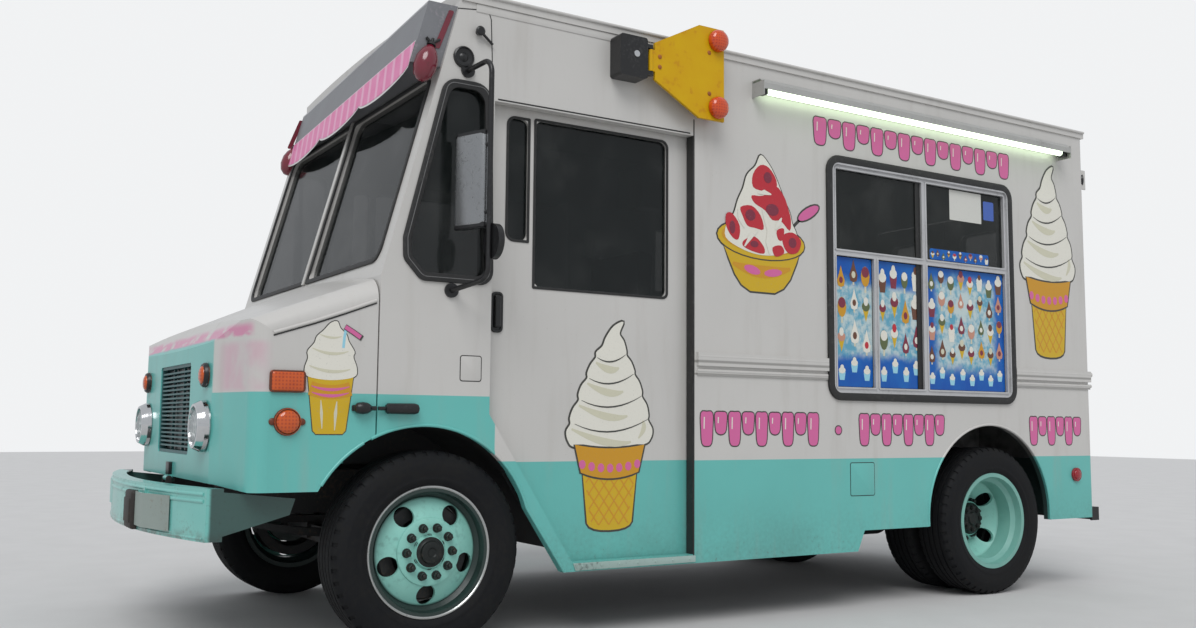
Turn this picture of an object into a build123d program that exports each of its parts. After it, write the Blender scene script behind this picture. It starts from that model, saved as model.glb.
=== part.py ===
from build123d import *
import math
import os

os.makedirs("parts", exist_ok=True)

# Driving dimensions in millimetres. X is across the truck (plus = its left side),
# Y runs rearwards along it, Z is up from the ground.
wheelbase = 3378
front_overhang = 1003
rear_overhang = 945
body_width = 2100
wall = 45
tyre_radius = 403
tyre_width = 225

# Distances along the truck, measured rearwards from the front axle.
overall_length = front_overhang + wheelbase + rear_overhang
front_axle_y = front_overhang - overall_length / 2
rear_axle_y = front_axle_y + wheelbase
nose_front_y = front_axle_y - 803
cab_front_y = front_axle_y - 251
door_front_y = front_axle_y + 235
body_front_y = front_axle_y + 1289
body_rear_y = rear_axle_y + 875
bumper_front_y = front_axle_y - front_overhang
step_rear_y = rear_axle_y + rear_overhang

# Heights above the ground.
axle_z = tyre_radius
rail_low_z = 530
rail_high_z = 710
floor_z = 780
floor_plate = 40
body_low_z = 393
skirt_low_z = 290
nose_low_z = 655
screen_low_z = 1577
wall_top_z = 2688
screen_high_z = wall_top_z - 323
door_head_z = wall_top_z - 407
roof_edge_z = wall_top_z + 40
roof_crown_z = roof_edge_z + 44

# Widths from the centre line.
half = body_width / 2
inner = half - wall
rail_x = 430
rail_flange = 70
rail_web = 8
front_wheel_inset = 135
kingpin_inset = 115
rear_wheel_inset = 125
dual_spacing = 255
front_wheel_x = half - front_wheel_inset
kingpin_x = front_wheel_x - kingpin_inset
rear_outer_x = half - rear_wheel_inset
rear_inner_x = rear_outer_x - dual_spacing
dual_middle_x = (rear_outer_x + rear_inner_x) / 2

# Clearances.
running = 0.05
panel_gap = 6
door_gap = 10
seat_gap = 0.3


def cross(y):
    """Sketch plane across the truck: sketch x is X, sketch y is Z, it faces forward."""
    return Plane.XZ.offset(-y)


def side(x):
    """Sketch plane along the truck: sketch x is Y, sketch y is Z, it faces left."""
    return Plane.YZ.offset(x)


def level(z):
    """Sketch plane parallel to the ground."""
    return Plane.XY.offset(z)


def block(x, y, z, mode=Mode.ADD):
    """Box between the low and high values of each axis."""
    with Locations(((x[0] + x[1]) / 2, (y[0] + y[1]) / 2, (z[0] + z[1]) / 2)):
        Box(x[1] - x[0], y[1] - y[0], z[1] - z[0], mode=mode)


def rod(start, end, radius, mode=Mode.ADD):
    """Round bar from one point to another."""
    way = Vector(*end) - Vector(*start)
    with BuildSketch(Plane(origin=start, z_dir=way)) as end_face:
        Circle(radius)
    extrude(end_face.sketch, amount=way.length, mode=mode)


def save(piece, name):
    piece.part.label = name
    export_step(piece.part, f"parts/{name}.step")


# Wheel arches: a circle over each wheel. The front one runs on as a straight
# edge down to the sill behind the wheel.
arch_radius = 490
front_arch_y = front_axle_y - 50
front_arch_z = 417
rear_arch_y = rear_axle_y - 40
rear_arch_z = 430
arch_tangent = ((front_axle_y + 317), 714)
arch_foot = ((front_axle_y + 598), skirt_low_z)

# Doorway: its lower front corner is cut off along the arch.
door_sill_z = skirt_low_z + 40
door_cut_high = (door_front_y, 955)
door_cut_low = (front_axle_y + 640, door_sill_z)

# Cab shell: sides, front frame with the windscreen opening, header and sills.
screen_lean = 0.27
screen_wall = 45
cab_front_top_y = cab_front_y + screen_lean * (wall_top_z - 1500)
cowl_break_z = 1500
post_half = 32
screen_half = half - 90
engine_gap_half = 310  # half the opening for the engine cover
bulkhead_half = 540
bulkhead_top_z = 900


def front_face_y(z):
    """Y of the cab's outer front face at a height."""
    return cab_front_y + screen_lean * max(0, z - cowl_break_z)


def arch_cut(low, high):
    """Front arch opening, cut through X from low to high."""
    with BuildSketch(side(low)) as arch:
        with Locations((front_arch_y, front_arch_z)):
            Circle(arch_radius)
        with BuildLine():
            Polyline(
                (front_arch_y, front_arch_z),
                arch_tangent,
                arch_foot,
                (arch_foot[0], 0),
                (front_arch_y - arch_radius, 0),
                (front_arch_y - arch_radius, front_arch_z),
                close=True,
            )
        make_face()
    extrude(arch.sketch, amount=high - low, mode=Mode.SUBTRACT)


with BuildPart() as cab_shell:
    with BuildSketch(side(-half)):
        with BuildLine():
            Polyline(
                (cab_front_y, nose_low_z + 45),
                (cab_front_y, cowl_break_z),
                (cab_front_top_y, wall_top_z),
                (body_front_y, wall_top_z),
                (body_front_y, skirt_low_z),
                (cab_front_y + 100, skirt_low_z),
                close=True,
            )
        make_face()
    extrude(amount=body_width)
    # The hollow inside, open to the rear and below.
    with BuildSketch(side(-inner)):
        with BuildLine():
            Polyline(
                (cab_front_y + screen_wall, 0),
                (cab_front_y + screen_wall, cowl_break_z),
                (cab_front_top_y + screen_wall, wall_top_z + 10),
                (body_front_y + 10, wall_top_z + 10),
                (body_front_y + 10, 0),
                close=True,
            )
        make_face()
    extrude(amount=2 * inner, mode=Mode.SUBTRACT)
    # Windscreen: two panes beside a centre post.
    with BuildSketch(cross(cab_front_top_y + 100)):
        with Locations((-(post_half + screen_half) / 2, (screen_low_z + screen_high_z) / 2)):
            RectangleRounded(screen_half - post_half, screen_high_z - screen_low_z, 55)
        with Locations(((post_half + screen_half) / 2, (screen_low_z + screen_high_z) / 2)):
            RectangleRounded(screen_half - post_half, screen_high_z - screen_low_z, 55)
    extrude(amount=600, mode=Mode.SUBTRACT)
    # Opening for the engine cover in the bulkhead.
    block(
        (-engine_gap_half, engine_gap_half),
        (cab_front_y - 10, cab_front_y + screen_wall + 10),
        (500, 1200),
        Mode.SUBTRACT,
    )
    # Doorways on both sides.
    with BuildSketch(side(-half - 10)):
        with BuildLine():
            Polyline(
                (door_front_y, door_head_z),
                door_cut_high,
                door_cut_low,
                (body_front_y + 10, door_sill_z),
                (body_front_y + 10, door_head_z),
                close=True,
            )
        make_face()
    extrude(amount=body_width + 20, mode=Mode.SUBTRACT)
    arch_cut(-half - 10, half + 10)
    for sign_x in (-1, 1):
        bulkhead_x = sorted((sign_x * engine_gap_half, sign_x * bulkhead_half))
        block(bulkhead_x, (cab_front_y, cab_front_y + screen_wall), (floor_z - floor_plate, bulkhead_top_z))
    # Quarter windows.
    with BuildSketch(side(-half - 10)):
        with BuildLine():
            Polyline(
                (front_axle_y - 138, 1630),
                (front_axle_y - 138, 1585),
                (front_axle_y - 72, 1515),
                (front_axle_y + 222, 1515),
                (front_axle_y + 196, screen_high_z - 40),
                (front_axle_y + 35, screen_high_z - 40),
                close=True,
            )
        quarter_face = make_face()
        fillet(quarter_face.vertices().sort_by(Axis.Y)[-2:], 55)
    extrude(amount=body_width + 20, mode=Mode.SUBTRACT)

# The shell's front frame lies between the two side walls, face to face.
with BuildPart() as cab_front:
    add(cab_shell.part)
    block((-inner, inner), (cab_front_y - 10, body_front_y + 10), (0, wall_top_z), Mode.INTERSECT)
save(cab_front, "cab_front")
with BuildPart() as left_cab_side:
    add(cab_shell.part)
    block((inner, half), (cab_front_y - 10, body_front_y + 10), (0, wall_top_z), Mode.INTERSECT)
save(left_cab_side, "left_cab_side")
with BuildPart() as right_cab_side:
    add(cab_shell.part)
    block((-half, -inner), (cab_front_y - 10, body_front_y + 10), (0, wall_top_z), Mode.INTERSECT)
save(right_cab_side, "right_cab_side")

# Body sides from the cab's rear edge to the tail, with the serving window and the
# rear arch. The skirt hangs lower from the cab to the fuel door.
window_front_y = front_axle_y + 2153
window_rear_y = front_axle_y + 3528
window_low_z = 1081
window_high_z = wall_top_z - 411
skirt_end_y = front_axle_y + 2364
rear_arch_radius = 503
rib_ends = ((body_front_y + 12, window_front_y - 34), (window_rear_y + 34, body_rear_y - 12))
ribs = ((1193, 1257, 15), (1150, 1172, 7))  # low, high, stands proud

for sign_x, side_name in ((1, "left_side"), (-1, "right_side")):
    outer_x = sign_x * half
    with BuildPart() as body_side:
        with BuildSketch(side(min(outer_x, sign_x * inner))):
            with BuildLine():
                Polyline(
                    (body_front_y, wall_top_z),
                    (body_rear_y, wall_top_z),
                    (body_rear_y, body_low_z),
                    (skirt_end_y, body_low_z),
                    (skirt_end_y - 48, skirt_low_z),
                    (body_front_y, skirt_low_z),
                    close=True,
                )
            make_face()
            with Locations(((window_front_y + window_rear_y) / 2, (window_low_z + window_high_z) / 2)):
                RectangleRounded(window_rear_y - window_front_y, window_high_z - window_low_z, 40, mode=Mode.SUBTRACT)
            with Locations((rear_arch_y, rear_arch_z)):
                Circle(rear_arch_radius, mode=Mode.SUBTRACT)
                with Locations((0, -200)):
                    Rectangle(2 * rear_arch_radius, 400, mode=Mode.SUBTRACT)
        extrude(amount=wall)
        corner = body_side.edges().filter_by(Axis.Z).group_by(Axis.Y)[-1].sort_by(Axis.X)
        fillet(corner[-1] if sign_x > 0 else corner[0], 34)
        for rib_front, rib_rear in rib_ends:
            for rib_low, rib_high, proud in ribs:
                rib_x = sorted((outer_x - sign_x * 2, outer_x + sign_x * proud))
                block(rib_x, (rib_front, rib_rear), (rib_low, rib_high))
    save(body_side, side_name)

# Roof: a crowned skin with a rail along each edge, its front edge bowed forward.
roof_lip = 8
with BuildPart() as roof:
    with BuildSketch(cross(body_rear_y)):
        with BuildLine():
            Line((-half - roof_lip, wall_top_z), (-half - roof_lip, roof_edge_z))
            ThreePointArc((-half - roof_lip, roof_edge_z), (0, roof_crown_z), (half + roof_lip, roof_edge_z))
            Line((half + roof_lip, roof_edge_z), (half + roof_lip, wall_top_z))
            Line((half + roof_lip, wall_top_z), (inner, wall_top_z))
            ThreePointArc((inner, wall_top_z), (0, roof_crown_z - wall), (-inner, wall_top_z))
            Line((-inner, wall_top_z), (-half - roof_lip, wall_top_z))
        make_face()
    extrude(amount=body_rear_y - cab_front_top_y)
save(roof, "roof")

# Rear wall with a double door in it.
rear_door_half = 620
rear_door_low_z = floor_z
rear_door_high_z = wall_top_z - 358
rear_wall_y = body_rear_y - wall
hinge_x = rear_door_half + 6
hinge_y = body_rear_y + 16
hinge_pin = 5
hinge_barrel = 10
hinge_heights = (950, 1550, 2150)
hinge_long = 60
rear_pane = (360, 460)
rear_pane_z = 1980
rear_pane_corner = 50
glass = 6

with BuildPart() as rear_frame:
    block((-inner, inner), (rear_wall_y, body_rear_y), (body_low_z, wall_top_z))
    with BuildSketch(cross(body_rear_y)):
        with BuildLine():
            Line((-inner, wall_top_z), (inner, wall_top_z))
            ThreePointArc((inner, wall_top_z), (0, roof_crown_z - wall), (-inner, wall_top_z))
        make_face()
    extrude(amount=wall)
    block(
        (-rear_door_half, rear_door_half),
        (rear_wall_y - 5, body_rear_y + 5),
        (rear_door_low_z, rear_door_high_z),
        Mode.SUBTRACT,
    )
    for sign_x in (-1, 1):
        for hinge_z in hinge_heights:
            pin_x = sign_x * hinge_x
            for end in (-1, 1):
                lug_z = hinge_z + end * (hinge_long / 2 + 11)
                with Locations((pin_x, hinge_y, lug_z)):
                    Cylinder(hinge_barrel, 20)
                lug_x = sorted((pin_x, pin_x + sign_x * 12))
                block(lug_x, (body_rear_y - 2, hinge_y), (lug_z - 10, lug_z + 10))
            with Locations((pin_x, hinge_y, hinge_z)):
                Cylinder(hinge_pin, hinge_long + 30)
save(rear_frame, "rear_frame")

for sign_x, door_name in ((1, "left_rear_door"), (-1, "right_rear_door")):
    with BuildPart() as rear_door:
        door_x = sorted((sign_x * 4, sign_x * (rear_door_half - 7)))
        block(door_x, (rear_wall_y, body_rear_y), (rear_door_low_z + 8, rear_door_high_z - 8))
        # Pressed panel and window opening.
        middle_x = sum(door_x) / 2
        with BuildSketch(cross(body_rear_y + 5)):
            with Locations((middle_x, rear_pane_z)):
                RectangleRounded(rear_pane[0], rear_pane[1], rear_pane_corner)
        extrude(amount=wall + 10, mode=Mode.SUBTRACT)
        with BuildSketch(cross(body_rear_y)):
            with Locations((middle_x, 1250)):
                RectangleRounded(420, 620, 30)
        extrude(amount=8, mode=Mode.SUBTRACT)
        for hinge_z in hinge_heights:
            leaf_x = sorted((sign_x * (hinge_x - 30), sign_x * hinge_x))
            block(leaf_x, (hinge_y - hinge_barrel, hinge_y + 2), (hinge_z - 30, hinge_z + 30))
            block(
                sorted((sign_x * (hinge_x - 30), sign_x * (hinge_x - 14))),
                (body_rear_y - 2, hinge_y),
                (hinge_z - 30, hinge_z + 30),
            )
            with Locations((sign_x * hinge_x, hinge_y, hinge_z)):
                Cylinder(hinge_barrel, hinge_long)
                Cylinder(hinge_pin + running, hinge_long + 4, mode=Mode.SUBTRACT)
    save(rear_door, door_name)
    with BuildPart() as rear_glass:
        with BuildSketch(cross(rear_wall_y + 18)):
            with Locations((middle_x, rear_pane_z)):
                RectangleRounded(rear_pane[0], rear_pane[1], rear_pane_corner)
        extrude(amount=-glass)
    save(rear_glass, f"{door_name}_glass")

# Floor: deck with a step well behind each doorway and boxes over the rear wheels.
door_channel = 60
deck_half = inner - door_channel
deck_front_y = front_axle_y + 350
well_x = deck_half - 325
well_front_y = front_axle_y + 668
well_rear_y = body_front_y - 16
well_z = 400
sheet = 15
house_front_y = rear_axle_y - 560
house_rear_y = rear_axle_y + 520
house_x = rear_inner_x - 160
house_z = 950
floor_low_z = floor_z - floor_plate
housing_in_x = kingpin_x - 260
foot_half = housing_in_x - 22

with BuildPart() as floor:
    block((-deck_half, deck_half), (deck_front_y, window_front_y + 15), (floor_low_z, floor_z))
    block((-inner, inner), (window_front_y + 15, rear_wall_y), (floor_low_z, floor_z))
    block((-foot_half, foot_half), (cab_front_y + wall, deck_front_y), (floor_low_z, floor_z))
    block((-300, 300), (cab_front_y, front_axle_y + 320), (floor_low_z - 5, floor_z + 5), Mode.SUBTRACT)
    for sign_x in (-1, 1):
        well = sorted((sign_x * well_x, sign_x * (deck_half + 1)))
        block(well, (well_front_y, well_rear_y), (floor_low_z - 5, floor_z + 5), Mode.SUBTRACT)
        shell = sorted((sign_x * (well_x - sheet), sign_x * deck_half))
        block(shell, (well_front_y - sheet, well_rear_y + sheet), (well_z - sheet, floor_low_z))
        block(well, (well_front_y, well_rear_y), (well_z, floor_low_z + 1), Mode.SUBTRACT)
        house = sorted((sign_x * house_x, sign_x * (inner + 1)))
        house_skin = sorted((sign_x * (house_x - sheet), sign_x * inner))
        block(house_skin, (house_front_y - sheet, house_rear_y + sheet), (floor_z, house_z + sheet))
        block(house, (house_front_y, house_rear_y), (floor_low_z - 5, house_z), Mode.SUBTRACT)
save(floor, "floor")

# Ladder frame: two channel rails with crossmembers, sills under the floor and a
# hanger at each end of the four springs.
nose_hinge_y = nose_front_y - 14
nose_hinge_z = 666
nose_barrel = 12
nose_pin = 6
hinge_leaf_half = 32
horn_top_z = 628
horn_rear_y = front_axle_y - 700
frame_front_y = front_axle_y - 880
frame_rear_y = rear_wall_y
cross_rows = (  # distance behind the front axle, low, high
    (-822, 545, 627),
    (0, 532, 585),
    (1150, 600, 700),
    (2050, 600, 700),
    (2640, 600, 700),
    (4080, 545, 695),
)
spring_half = 610
spring_width = 64
hanger = 46
sill_rows = (760, 1350, 2050, 2700, 4090)

with BuildPart() as ladder_frame:
    for sign_x in (-1, 1):
        rail = sorted((sign_x * (rail_x - rail_flange), sign_x * rail_x))
        hollow = sorted((sign_x * (rail_x - rail_flange - 1), sign_x * (rail_x - rail_web)))
        block(rail, (frame_front_y, frame_rear_y), (rail_low_z, rail_high_z))
        block(
            hollow,
            (frame_front_y - 1, frame_rear_y + 1),
            (rail_low_z + rail_web, rail_high_z - rail_web),
            Mode.SUBTRACT,
        )
    block((-rail_x - 1, rail_x + 1), (frame_front_y - 1, horn_rear_y), (horn_top_z, rail_high_z + 1), Mode.SUBTRACT)
    for sign_x in (-1, 1):
        lug_x = sorted((sign_x * (hinge_leaf_half + 2), sign_x * (hinge_leaf_half + 16)))
        block(
            lug_x,
            (nose_hinge_y - nose_barrel, nose_hinge_y + nose_barrel - 2),
            (horn_top_z - 4, nose_hinge_z),
        )
        rod(
            (lug_x[0], nose_hinge_y, nose_hinge_z),
            (lug_x[1], nose_hinge_y, nose_hinge_z),
            nose_barrel,
        )
    rod(
        (-hinge_leaf_half - 10, nose_hinge_y, nose_hinge_z),
        (hinge_leaf_half + 10, nose_hinge_y, nose_hinge_z),
        nose_pin,
    )
    for row_y, row_low, row_high in cross_rows:
        block(
            (-rail_x + rail_web - 1, rail_x - rail_web + 1),
            (front_axle_y + row_y - 30, front_axle_y + row_y + 30),
            (row_low, row_high),
        )
    for row_y in sill_rows:
        block(
            (-rail_x - 60, rail_x + 60),
            (front_axle_y + row_y - 25, front_axle_y + row_y + 25),
            (rail_high_z - 1, floor_low_z),
        )
    for sign_x in (-1, 1):
        for spring_y in (front_axle_y, rear_axle_y):
            for end in (-1, 1):
                hanger_y = spring_y + end * spring_half
                block(
                    (sign_x * rail_x - spring_width / 2, sign_x * rail_x + spring_width / 2),
                    (hanger_y - hanger / 2, hanger_y + hanger / 2),
                    (rail_low_z - 20, rail_low_z + rail_web),
                )
save(ladder_frame, "ladder_frame")

# Leaf springs: bowed packs, ends under the hangers, middles on the axles.
spring_end_z = rail_low_z - 20
front_beam_z = 412
rear_tube = 55
rear_pad_z = axle_z + rear_tube + 4

with BuildPart() as leaf_springs:
    for sign_x in (-1, 1):
        for spring_y, pad_z in ((front_axle_y, front_beam_z), (rear_axle_y, rear_pad_z)):
            with BuildSketch(side(sign_x * rail_x - spring_width / 2)):
                with BuildLine():
                    ThreePointArc(
                        (spring_y - spring_half - 20, spring_end_z - 14),
                        (spring_y, pad_z),
                        (spring_y + spring_half + 20, spring_end_z - 14),
                    )
                    Line((spring_y + spring_half + 20, spring_end_z - 14), (spring_y + spring_half + 20, spring_end_z))
                    Line((spring_y + spring_half + 20, spring_end_z), (spring_y + spring_half - 20, spring_end_z))
                    ThreePointArc(
                        (spring_y + spring_half - 20, spring_end_z),
                        (spring_y, pad_z + 36),
                        (spring_y - spring_half + 20, spring_end_z),
                    )
                    Line((spring_y - spring_half + 20, spring_end_z), (spring_y - spring_half - 20, spring_end_z))
                    Line((spring_y - spring_half - 20, spring_end_z), (spring_y - spring_half - 20, spring_end_z - 14))
                make_face()
            extrude(amount=spring_width)
save(leaf_springs, "leaf_springs")

# Front axle: a beam with an eye for each kingpin.
eye_radius = 36
eye_half = 45
kingpin = 20
beam_low_z = 328
with BuildPart() as front_axle:
    block((-kingpin_x, kingpin_x), (front_axle_y - 42, front_axle_y + 42), (beam_low_z, front_beam_z - 8))
    for sign_x in (-1, 1):
        block(
            (sign_x * rail_x - 45, sign_x * rail_x + 45),
            (front_axle_y - 60, front_axle_y + 60),
            (beam_low_z + 10, front_beam_z),
        )
        with Locations((sign_x * kingpin_x, front_axle_y, axle_z)):
            Cylinder(eye_radius + 60, 400, mode=Mode.SUBTRACT)
            Cylinder(eye_radius, 2 * eye_half)
        block(
            sorted((sign_x * (kingpin_x - eye_radius - 66), sign_x * (kingpin_x - eye_radius + 10))),
            (front_axle_y - 30, front_axle_y + 30),
            (axle_z - 30, axle_z + 8),
        )
        with Locations((sign_x * kingpin_x, front_axle_y, axle_z)):
            Cylinder(kingpin + running, 200, mode=Mode.SUBTRACT)
save(front_axle, "front_axle")

# Knuckles: a fork over the eye, its kingpin, and the spindle.
spindle = 30
lug_thick = 26
lug_gap = 2
knuckle_back_x = kingpin_x + eye_radius + 8
hub_inner_x = knuckle_back_x + 26
spindle_end_x = front_wheel_x + 53
for sign_x, knuckle_name in ((1, "left_knuckle"), (-1, "right_knuckle")):
    with BuildPart() as knuckle:
        for end in (-1, 1):
            lug_z = axle_z + end * (eye_half + lug_gap + lug_thick / 2)
            with Locations((sign_x * kingpin_x, front_axle_y, lug_z)):
                Cylinder(eye_radius, lug_thick)
            block(
                sorted((sign_x * kingpin_x, sign_x * (knuckle_back_x + 10))),
                (front_axle_y - 32, front_axle_y + 32),
                (lug_z - lug_thick / 2, lug_z + lug_thick / 2),
            )
        with Locations((sign_x * kingpin_x, front_axle_y, axle_z)):
            Cylinder(kingpin, 2 * (eye_half + lug_gap) + 10)
        block(
            sorted((sign_x * knuckle_back_x, sign_x * (hub_inner_x - 2))),
            (front_axle_y - 50, front_axle_y + 50),
            (axle_z - eye_half - lug_gap - lug_thick, axle_z + eye_half + lug_gap + lug_thick),
        )
        rod(
            (sign_x * (hub_inner_x - 10), front_axle_y, axle_z),
            (sign_x * spindle_end_x, front_axle_y, axle_z),
            spindle,
        )
    save(knuckle, knuckle_name)

# Rear axle: tube, final drive housing and a spindle at each end.
rear_spindle = 34
rear_spindle_x = dual_middle_x - 157.5
rear_spindle_end_x = dual_middle_x + 64.5
pinion_y = rear_axle_y - 200
with BuildPart() as rear_axle:
    rod((-rear_spindle_x, rear_axle_y, axle_z), (rear_spindle_x, rear_axle_y, axle_z), rear_tube)
    rod((-rear_spindle_end_x, rear_axle_y, axle_z), (rear_spindle_end_x, rear_axle_y, axle_z), rear_spindle)
    rod((0, rear_axle_y - 110, axle_z), (0, rear_axle_y + 110, axle_z), 165)
    rod((0, pinion_y + 2.5, axle_z + 20), (0, rear_axle_y, axle_z + 20), 62)
    for sign_x in (-1, 1):
        block(
            (sign_x * rail_x - 40, sign_x * rail_x + 40),
            (rear_axle_y - 60, rear_axle_y + 60),
            (axle_z, rear_pad_z),
        )
save(rear_axle, "rear_axle")

# Road wheels. Profiles are half sections: distance from the wheel's middle plane
# (plus is outboard), then radius.
rim_half = 98
rim_radius = 262
bead_radius = 248
rim_profile = (
    (-rim_half, rim_radius),
    (-rim_half + 10, rim_radius),
    (-rim_half + 12, bead_radius),
    (-58, bead_radius - 4),
    (-40, bead_radius - 24),
    (40, bead_radius - 24),
    (58, bead_radius - 4),
    (rim_half - 12, bead_radius),
    (rim_half - 10, rim_radius),
    (rim_half, rim_radius),
    (rim_half, bead_radius - 8),
    (60, bead_radius - 13),
    (42, bead_radius - 33),
    (-42, bead_radius - 33),
    (-60, bead_radius - 13),
    (-rim_half, bead_radius - 8),
)
tyre_half = tyre_width / 2
tyre_profile = (
    (-rim_half + 12, bead_radius),
    (-rim_half + 10, rim_radius),
    (-tyre_half + 8, rim_radius + 18),
    (-tyre_half, 325),
    (-tyre_half + 10, 372),
    (-tyre_half + 26, tyre_radius - 5),
    (-tyre_half + 46, tyre_radius),
    (tyre_half - 46, tyre_radius),
    (tyre_half - 26, tyre_radius - 5),
    (tyre_half - 10, 372),
    (tyre_half, 325),
    (tyre_half - 8, rim_radius + 18),
    (rim_half - 10, rim_radius),
    (rim_half - 12, bead_radius),
)
disc_thick = 12
hole_circle = 172
front_hole_turn = 270  # angle of the first hand hole, up from the rear
rear_hole_turn = 180
hand_hole = 40
hub_radius = 72


def ring(profile, centre_x, centre_y, facing, mode=Mode.ADD):
    """Revolve a half section about a wheel's axis. Facing is 1 on the left."""
    plane = Plane(origin=(centre_x, centre_y, axle_z), x_dir=(facing, 0, 0), z_dir=(0, -facing, 0))
    with BuildSketch(plane) as section:
        with BuildLine():
            Polyline(*profile, close=True)
        make_face()
    revolve(section.sketch, axis=Axis((0, centre_y, axle_z), (1, 0, 0)), mode=mode)


def hand_holes(low_x, high_x, centre_y, count, turn):
    """Round holes through a wheel's disc, the first at an angle."""
    with BuildSketch(Plane(origin=(low_x, centre_y, axle_z), x_dir=(0, 1, 0), z_dir=(1, 0, 0))) as holes:
        with PolarLocations(hole_circle, count, start_angle=turn):
            Circle(hand_hole)
    extrude(holes.sketch, amount=high_x - low_x, mode=Mode.SUBTRACT)


# Half section of the front disc and hub: the disc bulges outboard.
front_disc = (
    (34, bead_radius - 32),
    (48, bead_radius - 32),
    (84, 130),
    (88, hub_radius),
    (104, hub_radius - 10),
    (104, 0),
    (spindle_end_x + 4 - front_wheel_x, 0),
    (spindle_end_x + 4 - front_wheel_x, spindle + running),
    (hub_inner_x - front_wheel_x, spindle + running),
    (hub_inner_x - front_wheel_x, 128),
    (hub_inner_x + 26 - front_wheel_x, 128),
    (50, 100),
    (74, 120),
)
for sign_x, wheel_name in ((1, "left_front"), (-1, "right_front")):
    with BuildPart() as tyre:
        ring(tyre_profile, sign_x * front_wheel_x, front_axle_y, sign_x)
    save(tyre, f"{wheel_name}_tyre")
    with BuildPart() as wheel:
        ring(rim_profile, sign_x * front_wheel_x, front_axle_y, sign_x)
        ring(front_disc, sign_x * front_wheel_x, front_axle_y, sign_x)
        holes_x = sorted((sign_x * (front_wheel_x + 10), sign_x * (front_wheel_x + rim_half)))
        hand_holes(holes_x[0], holes_x[1], front_axle_y, 5, front_hole_turn)
    save(wheel, f"{wheel_name}_wheel")

# Half section of the twin discs and their hub, from the middle between the wheels.
outer_dish = rear_outer_x - dual_middle_x
rear_disc = (
    (outer_dish - 56, bead_radius - 32),
    (outer_dish - 42, bead_radius - 32),
    (disc_thick, 135),
    (disc_thick + 2, 95),
    (60, 95),
    (72, 80),
    (78, 0),
    (rear_spindle_end_x + 4 - dual_middle_x, 0),
    (rear_spindle_end_x + 4 - dual_middle_x, rear_spindle + running),
    (rear_spindle_x + 8 - dual_middle_x, rear_spindle + running),
    (rear_spindle_x + 8 - dual_middle_x, 165),
    (-70, 165),
    (-60, 100),
    (-disc_thick, 110),
    (-disc_thick, 135),
    (-outer_dish + 42, bead_radius - 32),
    (-outer_dish + 56, bead_radius - 32),
    (0, 152),
)
for sign_x, wheel_name in ((1, "left_rear"), (-1, "right_rear")):
    with BuildPart() as tyres:
        for centre_x in (rear_outer_x, rear_inner_x):
            ring(tyre_profile, sign_x * centre_x, rear_axle_y, sign_x)
    save(tyres, f"{wheel_name}_tyres")
    with BuildPart() as wheels:
        for centre_x in (rear_outer_x, rear_inner_x):
            ring(rim_profile, sign_x * centre_x, rear_axle_y, sign_x)
        ring(rear_disc, sign_x * dual_middle_x, rear_axle_y, sign_x)
        holes_x = sorted((sign_x * (dual_middle_x - 110), sign_x * (rear_outer_x + 10)))
        hand_holes(holes_x[0], holes_x[1], rear_axle_y, 5, rear_hole_turn)
    save(wheels, f"{wheel_name}_wheels")

# Engine block and gearbox with the propeller shaft.
engine_half = 270
engine_front_y = front_axle_y - 560
engine_rear_y = front_axle_y + 250
engine_low_z = 585
engine_high_z = 1100
gearbox_rear_y = front_axle_y + 900
with BuildPart() as engine:
    block((-engine_half, engine_half), (engine_front_y, engine_rear_y), (engine_low_z, engine_high_z))
    chamfer(engine.edges().filter_by(Axis.Y), 60)
save(engine, "engine")

with BuildPart() as driveline:
    with BuildSketch(cross(engine_rear_y)):
        with Locations((0, 640)):
            RectangleRounded(300, 180, 60)
    with BuildSketch(cross(gearbox_rear_y)):
        with Locations((0, 610)):
            RectangleRounded(160, 130, 50)
    loft()
    rod((0, gearbox_rear_y - 10, 570), (0, pinion_y, axle_z + 20), 38)
save(driveline, "driveline")

# Fuel tank outside the right rail, hung from the floor by two straps.
tank_x = (-half + 170, -rail_x - 20)
tank_y = (front_axle_y + 1500, front_axle_y + 2350)
with BuildPart() as fuel_tank:
    block(tank_x, tank_y, (400, 640))
    fillet(fuel_tank.edges().filter_by(Axis.Y), 50)
    for strap_y in (tank_y[0] + 150, tank_y[1] - 150):
        block((tank_x[0] + 80, tank_x[0] + 100), (strap_y - 30, strap_y + 30), (630, floor_low_z))
        block((tank_x[1] - 100, tank_x[1] - 80), (strap_y - 30, strap_y + 30), (630, floor_low_z))
save(fuel_tank, "fuel_tank")

# Front bumper: a bowed channel with closed ends and a shield behind each end.
bumper_low_z = 474
bumper_high_z = 668
bumper_half = half - 100
bumper_sag = 141
bumper_deep = 62
bumper_plate = 6
plate_x = 330
plate_z = 600
plate_spacing = 177.8
plate_hole = 3.5
plate_pad_half = (130, 25)
plate_pad_y = (5, 40)  # behind the bumper's foremost point


def bumper_band(deep, mode=Mode.ADD):
    """Plan of the bumper: an arc band of a given depth."""
    with BuildLine() as outline:
        ThreePointArc(
            (-bumper_half, bumper_front_y + bumper_sag),
            (0, bumper_front_y),
            (bumper_half, bumper_front_y + bumper_sag),
        )
        Line((bumper_half, bumper_front_y + bumper_sag), (bumper_half, bumper_front_y + bumper_sag + deep))
        ThreePointArc(
            (bumper_half, bumper_front_y + bumper_sag + deep),
            (0, bumper_front_y + deep),
            (-bumper_half, bumper_front_y + bumper_sag + deep),
        )
        Line((-bumper_half, bumper_front_y + bumper_sag + deep), (-bumper_half, bumper_front_y + bumper_sag))
    make_face(outline.edges(), mode=mode)


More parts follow.
